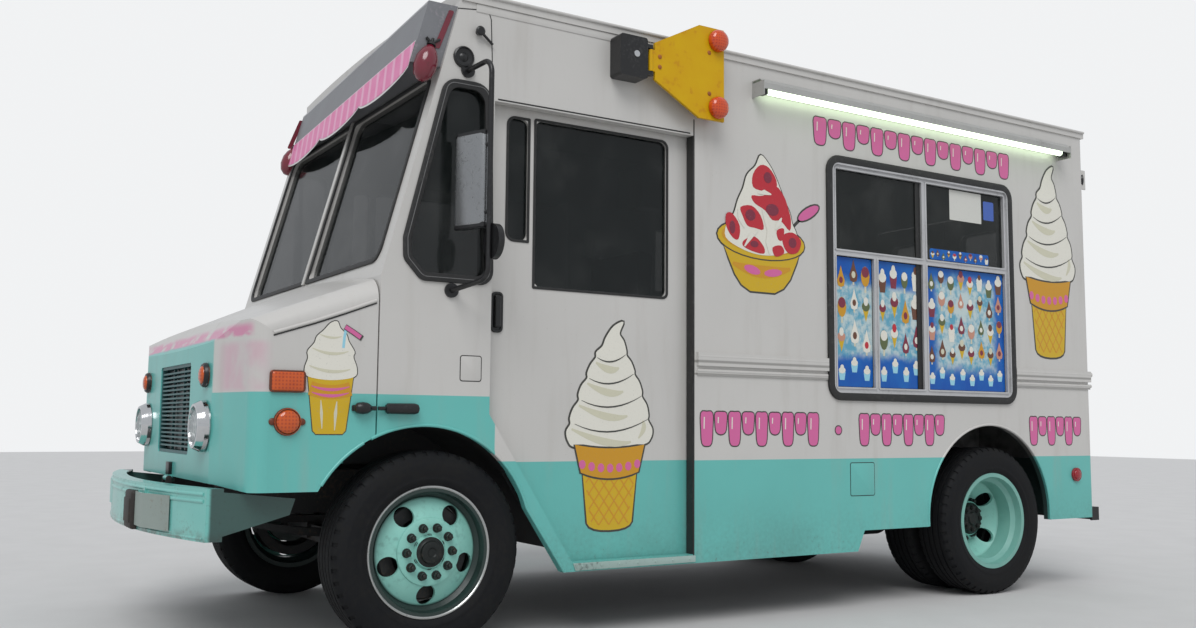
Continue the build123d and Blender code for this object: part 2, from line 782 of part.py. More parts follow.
with BuildPart() as front_bumper:
    with BuildSketch(level(bumper_low_z)) as face_plan:
        bumper_band(bumper_plate)
    extrude(face_plan.sketch, amount=bumper_high_z - bumper_low_z)
    with BuildSketch(level(bumper_low_z)) as flange_plan:
        bumper_band(bumper_deep)
    extrude(flange_plan.sketch, amount=bumper_plate)
    with BuildSketch(level(bumper_high_z - bumper_plate)) as top_plan:
        bumper_band(bumper_deep)
    extrude(top_plan.sketch, amount=bumper_plate)
    for sign_x in (-1, 1):
        end_x = sorted((sign_x * (bumper_half - bumper_plate), sign_x * bumper_half))
        end_y = bumper_front_y + bumper_sag
        block(end_x, (end_y, end_y + bumper_deep), (bumper_low_z, bumper_high_z))
        with BuildSketch(side(end_x[0])) as shield:
            with BuildLine():
                Polyline(
                    (end_y + 30, bumper_low_z + 10),
                    (end_y + 30, bumper_high_z - 10),
                    (end_y + 330, nose_low_z - 30),
                    (end_y + 310, bumper_low_z + 90),
                    close=True,
                )
            make_face()
        extrude(shield.sketch, amount=bumper_plate)
        # Arms back to the frame rails.
        block(
            (sign_x * (rail_x - 35) - 30, sign_x * (rail_x - 35) + 30),
            (bumper_front_y + 20, frame_front_y),
            (rail_low_z + 10, rail_high_z - 60),
        )
    block(
        (plate_x - plate_pad_half[0], plate_x + plate_pad_half[0]),
        (bumper_front_y + plate_pad_y[0], bumper_front_y + plate_pad_y[1]),
        (plate_z - plate_pad_half[1], plate_z + plate_pad_half[1]),
    )
    with BuildSketch(cross(bumper_front_y - 10)) as plate_holes:
        with Locations((plate_x - plate_spacing / 2, plate_z), (plate_x + plate_spacing / 2, plate_z)):
            Circle(plate_hole)
    extrude(plate_holes.sketch, amount=-60, mode=Mode.SUBTRACT)
save(front_bumper, "front_bumper")

# Rear step bumper, with a flat tread and a drawbar hole in the middle.
step_low_z = 372
step_high_z = 450
tow_hole = 15
with BuildPart() as rear_bumper:
    block((-half + 20, half - 20), (body_rear_y, step_rear_y), (step_low_z, step_high_z))
    block((-half + 32, half - 32), (body_rear_y - 1, step_rear_y - 12), (step_low_z - 1, step_high_z - 6), Mode.SUBTRACT)
    block((-80, 80), (body_rear_y, step_rear_y - 12), (step_high_z - 20, step_high_z - 6))
    for sign_x in (-1, 1):
        arm_x = sorted((sign_x * (rail_x - 60), sign_x * (rail_x - 10)))
        block(arm_x, (body_rear_y, step_rear_y - 12), (step_low_z + 30, step_high_z - 6))
    with Locations((0, (body_rear_y + step_rear_y - 12) / 2, step_high_z)):
        Cylinder(tow_hole, 100, mode=Mode.SUBTRACT)
save(rear_bumper, "rear_bumper")

# Tilting nose: a lofted shell with round shoulders and corners, open behind and
# below, hinged at its lower front edge.
nose_rear_y = cab_front_y - panel_gap
nose_skin = 30
nose_rows = (  # Y, half width, side top, shoulder radius, crown height
    (nose_front_y, half, 1216, 62, 1300),
    (nose_rear_y, half, 1392, 100, 1545),
)
nose_face_half = half - 370
nose_face_sag = 6
nose_cheek = (half - 65, nose_front_y + 61)
nose_bend = (half - 17, nose_front_y + 85)
nose_side_y = nose_front_y + 131
brow_low_z = 1222
brow_high_z = 1340
brow_deep = 74
grille_half = 314
grille_low_z = 775
grille_high_z = 1162
grille_corner = 16
head_x = 589
head_z = 897
head_radius = 92
front_lamp_x = 599
front_lamp_z = 1100
chin_z = 674


def nose_section(row, inset):
    """Cross section of the nose at one station, drawn in by a skin thickness."""
    row_y, row_half, shoulder_z, radius, crown = row
    wide = row_half - inset
    bend = max(radius - inset, 20)
    with BuildSketch(cross(row_y)) as section:
        with BuildLine():
            Line((-wide, nose_low_z - 10 * inset), (-wide, shoulder_z))
            RadiusArc((-wide, shoulder_z), (-wide + bend, shoulder_z + bend), bend)
            ThreePointArc((-wide + bend, shoulder_z + bend), (0, crown - inset), (wide - bend, shoulder_z + bend))
            RadiusArc((wide - bend, shoulder_z + bend), (wide, shoulder_z), bend)
            Line((wide, shoulder_z), (wide, nose_low_z - 10 * inset))
            Line((wide, nose_low_z - 10 * inset), (-wide, nose_low_z - 10 * inset))
        make_face()
    return section.sketch


def nose_brow(inset):
    """Slanted face between the nose's front and its hood, moved back by a skin thickness."""
    with BuildSketch(side(-half - 10)) as brow:
        with BuildLine():
            Polyline(
                (nose_front_y - 20 + inset, brow_low_z - inset / 2),
                (nose_front_y + inset, brow_low_z - inset / 2),
                (nose_front_y + brow_deep + inset, brow_high_z - inset / 2),
                (nose_front_y - 20 + inset, brow_high_z + 200),
                close=True,
            )
        make_face()
    extrude(brow.sketch, amount=body_width + 20, mode=Mode.SUBTRACT)


side_lamp_y = (front_axle_y - 672, front_axle_y - 546)
side_lamp_z = (1030, 1106)
round_lamp_y = front_axle_y - 604
round_lamp_z = 917
round_lamp_radius = 50
front_lamp_radius = 38
lamp_seat_x = half - 36
lamp_face_x = half + 12


def small_lamps(mode):
    """The nose's small lamps, as solids or as the seats that they fill."""
    for sign_x in (-1, 1):
        with Locations(Location((sign_x * front_lamp_x, nose_front_y, front_lamp_z), (90, 0, 0))):
            Cylinder(front_lamp_radius, 28, mode=mode)
        block(sorted((sign_x * lamp_seat_x, sign_x * lamp_face_x)), side_lamp_y, side_lamp_z, mode)
        middle_x = sign_x * (lamp_seat_x + lamp_face_x) / 2
        with Locations(Location((middle_x, round_lamp_y, round_lamp_z), (0, 90, 0))):
            Cylinder(round_lamp_radius, lamp_face_x - lamp_seat_x, mode=mode)


with BuildPart() as nose:
    loft([nose_section(nose_rows[0], 0).faces()[0], nose_section(nose_rows[1], 0).faces()[0]], ruled=True)
    # Round the two front corners in plan.
    with BuildSketch(level(nose_low_z)) as plan:
        with BuildLine():
            face_end_y = nose_front_y + nose_face_sag
            Line((-half, nose_rear_y), (-half, nose_side_y))
            ThreePointArc((-half, nose_side_y), (-nose_bend[0], nose_bend[1]), (-nose_cheek[0], nose_cheek[1]))
            Line((-nose_cheek[0], nose_cheek[1]), (-nose_face_half, face_end_y))
            ThreePointArc((-nose_face_half, face_end_y), (0, nose_front_y), (nose_face_half, face_end_y))
            Line((nose_face_half, face_end_y), nose_cheek)
            ThreePointArc(nose_cheek, nose_bend, (half, nose_side_y))
            Line((half, nose_side_y), (half, nose_rear_y))
            Line((half, nose_rear_y), (-half, nose_rear_y))
        make_face()
    extrude(plan.sketch, amount=1200, mode=Mode.INTERSECT)
    hollow_rows = (
        (nose_front_y + nose_skin, *nose_rows[0][1:]),
        (nose_rear_y + 1, *nose_rows[1][1:]),
    )
    with BuildPart(mode=Mode.PRIVATE) as hollow:
        loft(
            [nose_section(hollow_rows[0], nose_skin).faces()[0], nose_section(hollow_rows[1], nose_skin).faces()[0]],
            ruled=True,
        )
        with BuildSketch(level(nose_low_z - 400)) as inside_plan:
            with BuildLine():
                Polyline(
                    (-half + nose_skin, nose_rear_y + 2),
                    (-half + nose_skin, nose_side_y + nose_skin),
                    (-nose_cheek[0] + nose_skin / 2, nose_cheek[1] + nose_skin + 6),
                    (-nose_face_half, nose_front_y + nose_face_sag + nose_skin + 4),
                    (nose_face_half, nose_front_y + nose_face_sag + nose_skin + 4),
                    (nose_cheek[0] - nose_skin / 2, nose_cheek[1] + nose_skin + 6),
                    (half - nose_skin, nose_side_y + nose_skin),
                    (half - nose_skin, nose_rear_y + 2),
                    close=True,
                )
            make_face()
        extrude(inside_plan.sketch, amount=1600, mode=Mode.INTERSECT)
        nose_brow(nose_skin)
    nose_brow(0)
    add(hollow.part, mode=Mode.SUBTRACT)
    arch_cut(-half - 10, half + 10)
    # The lower edge rises to the front.
    with BuildSketch(side(-half - 10)) as chin:
        with BuildLine():
            Polyline(
                (nose_front_y - 20, nose_low_z - 10),
                (nose_front_y - 20, chin_z),
                (nose_front_y + 12, chin_z),
                (nose_front_y + 70, nose_low_z),
                (nose_front_y + 70, nose_low_z - 10),
                close=True,
            )
        make_face()
    extrude(chin.sketch, amount=body_width + 20, mode=Mode.SUBTRACT)
    # Grille opening and lamp holes.
    with BuildSketch(cross(nose_front_y + 100)) as openings:
        with Locations((0, (grille_low_z + grille_high_z) / 2)):
            RectangleRounded(2 * grille_half, grille_high_z - grille_low_z, grille_corner)
        with Locations((-head_x, head_z), (head_x, head_z)):
            Circle(head_radius)
    extrude(openings.sketch, amount=150, mode=Mode.SUBTRACT)
    small_lamps(Mode.SUBTRACT)
    # Hinge leaf and barrel low on the front.
    block(
        (-hinge_leaf_half, hinge_leaf_half),
        (nose_front_y - 12, nose_front_y + 2),
        (nose_hinge_z, chin_z + 60),
    )
    rod(
        (-hinge_leaf_half, nose_hinge_y, nose_hinge_z),
        (hinge_leaf_half, nose_hinge_y, nose_hinge_z),
        nose_barrel,
    )
    rod(
        (-hinge_leaf_half - 1, nose_hinge_y, nose_hinge_z),
        (hinge_leaf_half + 1, nose_hinge_y, nose_hinge_z),
        nose_pin + running,
        Mode.SUBTRACT,
    )
save(nose, "nose")

# Grille: an upright frame with level slats, carried by the nose.
slats = 18
grille_deep = 26
grille_rim = 14
with BuildPart() as grille:
    with BuildSketch(cross(nose_front_y + 6)):
        with Locations((0, (grille_low_z + grille_high_z) / 2)):
            RectangleRounded(
                2 * (grille_half - seat_gap), grille_high_z - grille_low_z - 2 * seat_gap, grille_corner
            )
    extrude(amount=-grille_deep)
    block(
        (-grille_half + grille_rim, grille_half - grille_rim),
        (nose_front_y, nose_front_y + 60),
        (grille_low_z + grille_rim, grille_high_z - grille_rim),
        Mode.SUBTRACT,
    )
    slat_pitch = (grille_high_z - grille_low_z - 2 * grille_rim) / (slats + 1)
    for slat in range(slats):
        slat_z = grille_low_z + grille_rim + (slat + 1) * slat_pitch
        block(
            (-grille_half + grille_rim - 1, grille_half - grille_rim + 1),
            (nose_front_y + 8, nose_front_y + 4 + grille_deep),
            (slat_z - 4, slat_z + 4),
        )
    for bar_x in (-grille_half / 3, grille_half / 3):
        block(
            (bar_x - 4, bar_x + 4),
            (nose_front_y + 18, nose_front_y + 4 + grille_deep),
            (grille_low_z + 2, grille_high_z - 2),
        )
save(grille, "grille")

# Headlamps: a bezel with a peak, a bowl through the nose panel and a domed lens.
lamp_proud = 42
with BuildPart() as headlamps:
    for sign_x in (-1, 1):
        with BuildSketch(Plane(origin=(sign_x * head_x, nose_front_y, head_z), x_dir=(1, 0, 0), z_dir=(0, 0, 1))) as lamp:
            with BuildLine():
                Polyline(
                    (0, 30),
                    (head_radius - seat_gap, 30),
                    (head_radius - seat_gap, -seat_gap),
                    (head_radius + 12, -seat_gap),
                    (head_radius + 10, -16),
                    (head_radius - 4, -lamp_proud),
                    (head_radius - 14, -lamp_proud),
                    (head_radius - 18, -20),
                    (56, -28),
                    (30, -34),
                    (0, -36),
                    close=True,
                )
            make_face()
        revolve(lamp.sketch, axis=Axis((sign_x * head_x, nose_front_y, head_z), (0, 1, 0)))
save(headlamps, "headlamps")

# Small lamps on the nose: two at the front, and on each side a long one and a round one.
with BuildPart() as nose_lamps:
    small_lamps(Mode.ADD)
save(nose_lamps, "nose_lamps")

# Tail lamps on the rear wall and a red marker low on each side.
tail_lamp_x = half - 150
tail_lamp_heights = (body_low_z + 307, body_low_z + 467)
marker_y = body_rear_y - 170
marker_z = body_low_z + 254
with BuildPart() as tail_lamps:
    for sign_x in (-1, 1):
        for lamp_z in tail_lamp_heights:
            with Locations(Location((sign_x * tail_lamp_x, body_rear_y + 14, lamp_z), (90, 0, 0))):
                Cylinder(58, 28)
        marker_x = sorted((sign_x * half, sign_x * (half + 14)))
        with Locations(Location((sum(marker_x) / 2, marker_y, marker_z), (0, 90, 0))):
            Cylinder(36, 14)
save(tail_lamps, "tail_lamps")

# Glass of the cab: windscreen panes and quarter windows, flush in their openings.
glass_back = 20
with BuildPart() as cab_glass:
    with BuildSketch(cross(cab_front_top_y + 100)):
        for sign_x in (-1, 1):
            with Locations((sign_x * (post_half + screen_half) / 2, (screen_low_z + screen_high_z) / 2)):
                RectangleRounded(screen_half - post_half, screen_high_z - screen_low_z, 55)
    extrude(amount=600)
    with BuildSketch(side(-half)) as screen_slab:
        with BuildLine():
            Polyline(
                (front_face_y(cowl_break_z) + glass_back, cowl_break_z),
                (front_face_y(wall_top_z) + glass_back, wall_top_z),
                (front_face_y(wall_top_z) + glass_back + glass, wall_top_z),
                (front_face_y(cowl_break_z) + glass_back + glass, cowl_break_z),
                close=True,
            )
        make_face()
    extrude(screen_slab.sketch, amount=body_width, mode=Mode.INTERSECT)
    for sign_x in (-1, 1):
        pane_x = min(sign_x * (half - glass_back), sign_x * (half - glass_back - glass))
        with BuildSketch(side(pane_x)) as quarter:
            with BuildLine():
                Polyline(
                    (front_axle_y - 138, 1630),
                    (front_axle_y - 138, 1585),
                    (front_axle_y - 72, 1515),
                    (front_axle_y + 222, 1515),
                    (front_axle_y + 196, screen_high_z - 40),
                    (front_axle_y + 35, screen_high_z - 40),
                    close=True,
                )
            quarter_pane = make_face()
            fillet(quarter_pane.vertices().sort_by(Axis.Y)[-2:], 55)
        extrude(quarter.sketch, amount=glass)
save(cab_glass, "cab_glass")

# Side doors: inset panels that hang from a rail inside the wall and slide back.
door_out_x = half - 60
door_thick = 35
door_in_x = door_out_x - door_thick
door_lap = 24
door_front_edge = door_front_y - door_lap
door_rear_edge = body_front_y + door_lap
door_low_edge = door_sill_z - 14
door_travel = window_front_y - 40 - door_rear_edge
track_low_z = door_head_z + door_lap + 14
track_high_z = track_low_z + 24
track_in_x = door_in_x + 10
small_pane = (front_axle_y + 330, front_axle_y + 432, 1704, door_head_z - 41)
large_pane = (front_axle_y + 466, front_axle_y + 1170, 1507, door_head_z - 36)

for sign_x, door_name in ((1, "left_door"), (-1, "right_door")):
    with BuildPart() as door:
        with BuildSketch(side(min(sign_x * door_in_x, sign_x * door_out_x))):
            with BuildLine():
                Polyline(
                    (door_front_edge, door_head_z + door_lap),
                    (door_front_edge, door_cut_high[1] - 10),
                    (door_cut_low[0] - door_lap, door_low_edge),
                    (door_rear_edge, door_low_edge),
                    (door_rear_edge, door_head_z + door_lap),
                    close=True,
                )
            make_face()
            for pane in (small_pane, large_pane):
                with Locations(((pane[0] + pane[1]) / 2, (pane[2] + pane[3]) / 2)):
                    RectangleRounded(pane[1] - pane[0], pane[3] - pane[2], 36, mode=Mode.SUBTRACT)
        extrude(amount=door_thick)
        for hanger_y in (door_front_edge + 150, door_rear_edge - 150):
            arm_x = sorted((sign_x * door_in_x, sign_x * (door_in_x + 7)))
            block(arm_x, (hanger_y - 50, hanger_y + 50), (door_head_z, track_high_z + 16))
            hook_x = sorted((sign_x * door_in_x, sign_x * (door_in_x + 28)))
            block(hook_x, (hanger_y - 50, hanger_y + 50), (track_high_z + seat_gap, track_high_z + 16))
    save(door, door_name)
    with BuildPart() as door_glass:
        pane_x = min(sign_x * (door_out_x - 14), sign_x * (door_out_x - 14 - glass))
        with BuildSketch(side(pane_x)):
            for pane in (small_pane, large_pane):
                with Locations(((pane[0] + pane[1]) / 2, (pane[2] + pane[3]) / 2)):
                    RectangleRounded(pane[1] - pane[0], pane[3] - pane[2], 36)
        extrude(amount=glass)
    save(door_glass, f"{door_name}_glass")

with BuildPart() as door_tracks:
    for sign_x in (-1, 1):
        track_x = sorted((sign_x * track_in_x, sign_x * inner))
        block(track_x, (door_front_edge, door_rear_edge + door_travel), (track_low_z, track_high_z))
save(door_tracks, "door_tracks")

# Serving windows: an aluminium frame in each side, two panes above and three below.
frame_bar = 34
frame_lip = 12
middle_z = 1807
upper_split_y = front_axle_y + 2838
lower_split_y = front_axle_y + 2470
pane_x_out = half - 14
pane_rows = (  # front, rear, low, high of each pane
    (window_front_y + frame_bar, upper_split_y - 17, middle_z + 15, window_high_z - frame_bar),
    (upper_split_y + 17, window_rear_y - frame_bar, middle_z + 15, window_high_z - frame_bar),
    (window_front_y + frame_bar, lower_split_y - 15, window_low_z + frame_bar, middle_z - 15),
    (lower_split_y + 15, upper_split_y - 17, window_low_z + frame_bar, middle_z - 15),
    (upper_split_y + 17, window_rear_y - frame_bar, window_low_z + frame_bar, middle_z - 15),
)
with BuildPart() as service_windows:
    for sign_x in (-1, 1):
        with BuildSketch(side(min(sign_x * (inner - 6), sign_x * half))) as bars:
            with Locations(((window_front_y + window_rear_y) / 2, (window_low_z + window_high_z) / 2)):
                RectangleRounded(window_rear_y - window_front_y, window_high_z - window_low_z, 40)
            for row in pane_rows:
                with Locations(((row[0] + row[1]) / 2, (row[2] + row[3]) / 2)):
                    Rectangle(row[1] - row[0], row[3] - row[2], mode=Mode.SUBTRACT)
        extrude(bars.sketch, amount=half - inner + 6)
        with BuildSketch(side(min(sign_x * half, sign_x * (half + frame_lip)))) as lip:
            with Locations(((window_front_y + window_rear_y) / 2, (window_low_z + window_high_z) / 2)):
                RectangleRounded(window_rear_y - window_front_y + 36, window_high_z - window_low_z + 36, 56)
                RectangleRounded(
                    window_rear_y - window_front_y - 30, window_high_z - window_low_z - 30, 26, mode=Mode.SUBTRACT
                )
        extrude(lip.sketch, amount=frame_lip)
save(service_windows, "service_windows")

with BuildPart() as service_glass:
    for sign_x in (-1, 1):
        with BuildSketch(side(min(sign_x * pane_x_out, sign_x * (pane_x_out - glass)))) as panes:
            for row in pane_rows:
                with Locations(((row[0] + row[1]) / 2, (row[2] + row[3]) / 2)):
                    Rectangle(row[1] - row[0], row[3] - row[2])
        extrude(panes.sketch, amount=glass)
save(service_glass, "service_glass")

board_thick = 3
with BuildPart() as menu_boards:
    for sign_x in (-1, 1):
        board_x = sign_x * (pane_x_out - glass)
        with BuildSketch(side(min(board_x, board_x - sign_x * board_thick))) as boards:
            for row in pane_rows[2:]:
                with Locations(((row[0] + row[1]) / 2, (row[2] + row[3]) / 2)):
                    Rectangle(row[1] - row[0] - 6, row[3] - row[2] - 6)
        extrude(boards.sketch, amount=board_thick)
save(menu_boards, "menu_boards")

# Lamp hoods over the serving windows: a folded cover with a tube lamp under it.
hood_y = (front_axle_y + 1640, front_axle_y + 4010)
hood_high_z = wall_top_z - 82
hood_low_z = hood_high_z - 86
hood_deep = 92
with BuildPart() as lamp_hoods:
    for sign_x in (-1, 1):
        with BuildSketch(cross(hood_y[0])) as hood:
            with BuildLine():
                Polyline(
                    (sign_x * half, hood_low_z + 30),
                    (sign_x * half, hood_high_z),
                    (sign_x * (half + hood_deep - 30), hood_high_z),
                    (sign_x * (half + hood_deep), hood_high_z - 26),
                    (sign_x * (half + hood_deep), hood_low_z + 30),
                    (sign_x * (half + hood_deep - 4), hood_low_z + 30),
                    (sign_x * (half + hood_deep - 4), hood_high_z - 28),
                    (sign_x * (half + hood_deep - 32), hood_high_z - 4),
                    (sign_x * (half + 4), hood_high_z - 4),
                    (sign_x * (half + 4), hood_low_z + 30),
                    close=True,
                )
            make_face()
        extrude(hood.sketch, amount=-(hood_y[1] - hood_y[0]))
        for end_y in hood_y:
            cap = sorted((end_y, end_y + math.copysign(4, hood_y[1] + hood_y[0] - 2 * end_y)))
            cap_x = sorted((sign_x * half, sign_x * (half + hood_deep)))
            block(cap_x, cap, (hood_low_z, hood_high_z - 14))
        rod(
            (sign_x * (half + 48), hood_y[0] + 1, hood_low_z + 34),
            (sign_x * (half + 48), hood_y[1] - 1, hood_low_z + 34),
            17,
        )
save(lamp_hoods, "lamp_hoods")

# Visor over the windscreen: a leaning board under the roof's front edge. Its
# left end stands further forward than its right end.
visor_half = half - 18
visor_left_out = 118
visor_right_out = 6
visor_thick = 14
visor_low_z = wall_top_z - 298
with BuildPart() as screen_visor:
    with BuildSketch(level(wall_top_z - 24)) as top:
        with BuildLine():
            Polyline(
                (-visor_half, front_face_y(wall_top_z - 24) + 2),
                (-visor_half, front_face_y(wall_top_z - 24) - visor_right_out - visor_thick),
                (visor_half, front_face_y(wall_top_z - 24) - visor_left_out - visor_thick),
                (visor_half, front_face_y(wall_top_z - 24) + 2),
                close=True,
            )
        make_face()
    with BuildSketch(level(visor_low_z)) as low:
        with BuildLine():
            Polyline(
                (-visor_half, front_face_y(visor_low_z)),
                (-visor_half, front_face_y(visor_low_z) - visor_right_out - visor_thick),
                (visor_half, front_face_y(visor_low_z) - visor_left_out - visor_thick),
                (visor_half, front_face_y(visor_low_z)),
                close=True,
            )
        make_face()
    loft([low.sketch.faces()[0], top.sketch.faces()[0]], ruled=True)
    with BuildSketch(side(-half)) as behind:
        with BuildLine():
            Polyline(
                (front_face_y(cowl_break_z), cowl_break_z),
                (front_face_y(wall_top_z), wall_top_z),
                (front_face_y(wall_top_z) + 200, wall_top_z),
                (front_face_y(cowl_break_z) + 200, cowl_break_z),
                close=True,
            )
        make_face()
    extrude(behind.sketch, amount=body_width, mode=Mode.SUBTRACT)
save(screen_visor, "screen_visor")

# Mirrors: a tube loop off each side with a tall head and a round one.
mirror_x = half + 210
loop_y = front_axle_y + 115
loop_low_z = 1490
loop_high_z = wall_top_z - 301
tube = 11
foot_thick = 10
head_low_z = loop_low_z + 210
head_high_z = loop_low_z + 605
with BuildPart() as mirrors:
    for sign_x in (-1, 1):
        loop = (
            (sign_x * (half + foot_thick), front_axle_y + 51, 1457),
            (sign_x * mirror_x, loop_y, loop_low_z),
            (sign_x * mirror_x, loop_y, loop_high_z),
            (sign_x * (half + foot_thick), front_axle_y + 105, loop_high_z + 1),
        )
        with BuildLine() as route:
            FilletPolyline(*loop, radius=60)
        with BuildSketch(Plane(origin=route.line @ 0, z_dir=route.line % 0)) as end_face:
            Circle(tube)
        sweep(end_face.sketch, path=route.line)
        for foot in (loop[0], loop[3]):
            with Locations(Location((sign_x * (half + foot_thick / 2), foot[1], foot[2]), (0, 90, 0))):
                Cylinder(30, foot_thick)
        head_plane = Plane(origin=(sign_x * (mirror_x - 97), loop_y - 33, 0)).rotated((0, 0, sign_x * 22))
        with BuildSketch(head_plane.offset(head_low_z)) as head_plan:
            RectangleRounded(165, 42, 18)
        extrude(head_plan.sketch, amount=head_high_z - head_low_z)
        for clamp_z in (head_low_z + 60, head_high_z - 60):
            rod(
                (sign_x * (mirror_x - 40), loop_y - 12, clamp_z),
                (sign_x * mirror_x, loop_y, clamp_z),
                9,
            )
        with Locations(Location((sign_x * mirror_x, loop_y + 22, 1640), (90, 0, 0))):
            Cylinder(72, 26)
save(mirrors, "mirrors")

# Folding road sign: a bracket box on the left side and a plate on an upright hinge.
sign_hinge_y = front_axle_y + 984
sign_hinge_x = half + 74
sign_low_z = wall_top_z - 212
sign_high_z = wall_top_z - 20
sign_thick = 14
plate_edge = (272, 418)  # the straight edges' run, behind the hinge
plate_reach = (sign_low_z - 130, sign_high_z + 124)
with BuildPart() as sign_bracket:
    block((half, half + 88), (sign_hinge_y - 172, sign_hinge_y - 24), (sign_low_z + 2, sign_high_z))
    fillet(sign_bracket.edges().filter_by(Axis.X), 14)
    for end in (-1, 1):
        lug_z = (sign_low_z + sign_high_z) / 2 + end * 62
        block((half + 58, half + 86), (sign_hinge_y - 34, sign_hinge_y), (lug_z - 9, lug_z + 9))
        with Locations((sign_hinge_x, sign_hinge_y, lug_z)):
            Cylinder(12, 18)
    with Locations((sign_hinge_x, sign_hinge_y, (sign_low_z + sign_high_z) / 2)):
        Cylinder(5, 130)
save(sign_bracket, "sign_bracket")

with BuildPart() as swing_sign:
    with BuildSketch(side(sign_hinge_x - sign_thick / 2)):
        with BuildLine():
            Polyline(
                (sign_hinge_y, sign_low_z + 20),
                (sign_hinge_y + plate_edge[0], plate_reach[0]),
                (sign_hinge_y + plate_edge[1], plate_reach[0]),
                (sign_hinge_y + plate_edge[1], plate_reach[1]),
                (sign_hinge_y + plate_edge[0], plate_reach[1]),
                (sign_hinge_y, sign_high_z - 20),
                close=True,
            )
        make_face()
        with Locations((sign_hinge_y, (sign_low_z + sign_high_z) / 2)):
            Rectangle(40, 400, mode=Mode.SUBTRACT)
    extrude(amount=sign_thick)
    middle = (sign_low_z + sign_high_z) / 2
    block(
        (sign_hinge_x - sign_thick / 2, sign_hinge_x + sign_thick / 2),
        (sign_hinge_y, sign_hinge_y + 22),
        (middle - 50, middle + 50),
    )
    with Locations((sign_hinge_x, sign_hinge_y, middle)):
        Cylinder(12, 100)
        Cylinder(5 + running, 104, mode=Mode.SUBTRACT)
    for lamp_z in (plate_reach[0] + 61, plate_reach[1] - 61):
        with Locations(Location((sign_hinge_x, sign_hinge_y + plate_edge[1] - 41, lamp_z), (0, 90, 0))):
            Cylinder(42, 64)
save(swing_sign, "swing_sign")

# Dash with the steering column, which stands on the wheel housing.
wheel_hub = (half - 450, front_axle_y + 420, cowl_break_z - 190)
column_lean = 0.58
column_radius = 24
column_top_z = wheel_hub[2] - 40
dash_front_y = cab_front_y + wall


def column_y(z):
    """Y of the steering column's axis at a height."""
    return wheel_hub[1] - column_lean * (wheel_hub[2] - z)


column_foot = (wheel_hub[0], column_y(850), 850)
column_top = (wheel_hub[0], column_y(column_top_z), column_top_z)
with BuildPart() as dash:
    with BuildSketch(side(-inner)):
        with BuildLine():
            Polyline(
                (dash_front_y, cowl_break_z - 235),
                (dash_front_y, cowl_break_z),
                (dash_front_y + 250, cowl_break_z - 30),
                (dash_front_y + 290, cowl_break_z - 70),
                (dash_front_y + 270, cowl_break_z - 200),
                (dash_front_y + 120, cowl_break_z - 235),
                close=True,
            )
        make_face()
    extrude(amount=2 * inner)
    rod(column_foot, column_top, column_radius)
    # Stay from the dash to the column, and the instrument pod ahead of the driver.
    stay_x = (wheel_hub[0] - 20, wheel_hub[0] + 20)
    stay_z = cowl_break_z - 295
    block(stay_x, (dash_front_y + 150, dash_front_y + 260), (stay_z, cowl_break_z - 200))
    block(stay_x, (dash_front_y + 150, column_y(stay_z + 15)), (stay_z, stay_z + 35))
    pod_x = (wheel_hub[0] - 170, wheel_hub[0] + 180)
    block(pod_x, (dash_front_y + 230, dash_front_y + 320), (cowl_break_z - 120, cowl_break_z))
    with BuildSketch(side(-inner)) as housing_top:
        with Locations((front_arch_y, front_arch_z)):
            Circle(arch_radius + sheet + seat_gap)
    extrude(housing_top.sketch, amount=2 * inner, mode=Mode.SUBTRACT)
save(dash, "dash")

# Wheel housings inside the cab: a hoop over each front wheel, a slanted sheet
# behind it and a cheek on its inner side.
hoop_back = 24
slant_long = math.dist(arch_tangent, arch_foot)
slant_out = ((arch_tangent[1] - arch_foot[1]) / slant_long, (arch_foot[0] - arch_tangent[0]) / slant_long)


def behind_slant(along, out):
    """Point at a share of the way down the arch's straight edge, moved out from it."""
    return (
        arch_tangent[0] + along * (arch_foot[0] - arch_tangent[0]) + out * slant_out[0],
        arch_tangent[1] + along * (arch_foot[1] - arch_tangent[1]) + out * slant_out[1],
    )


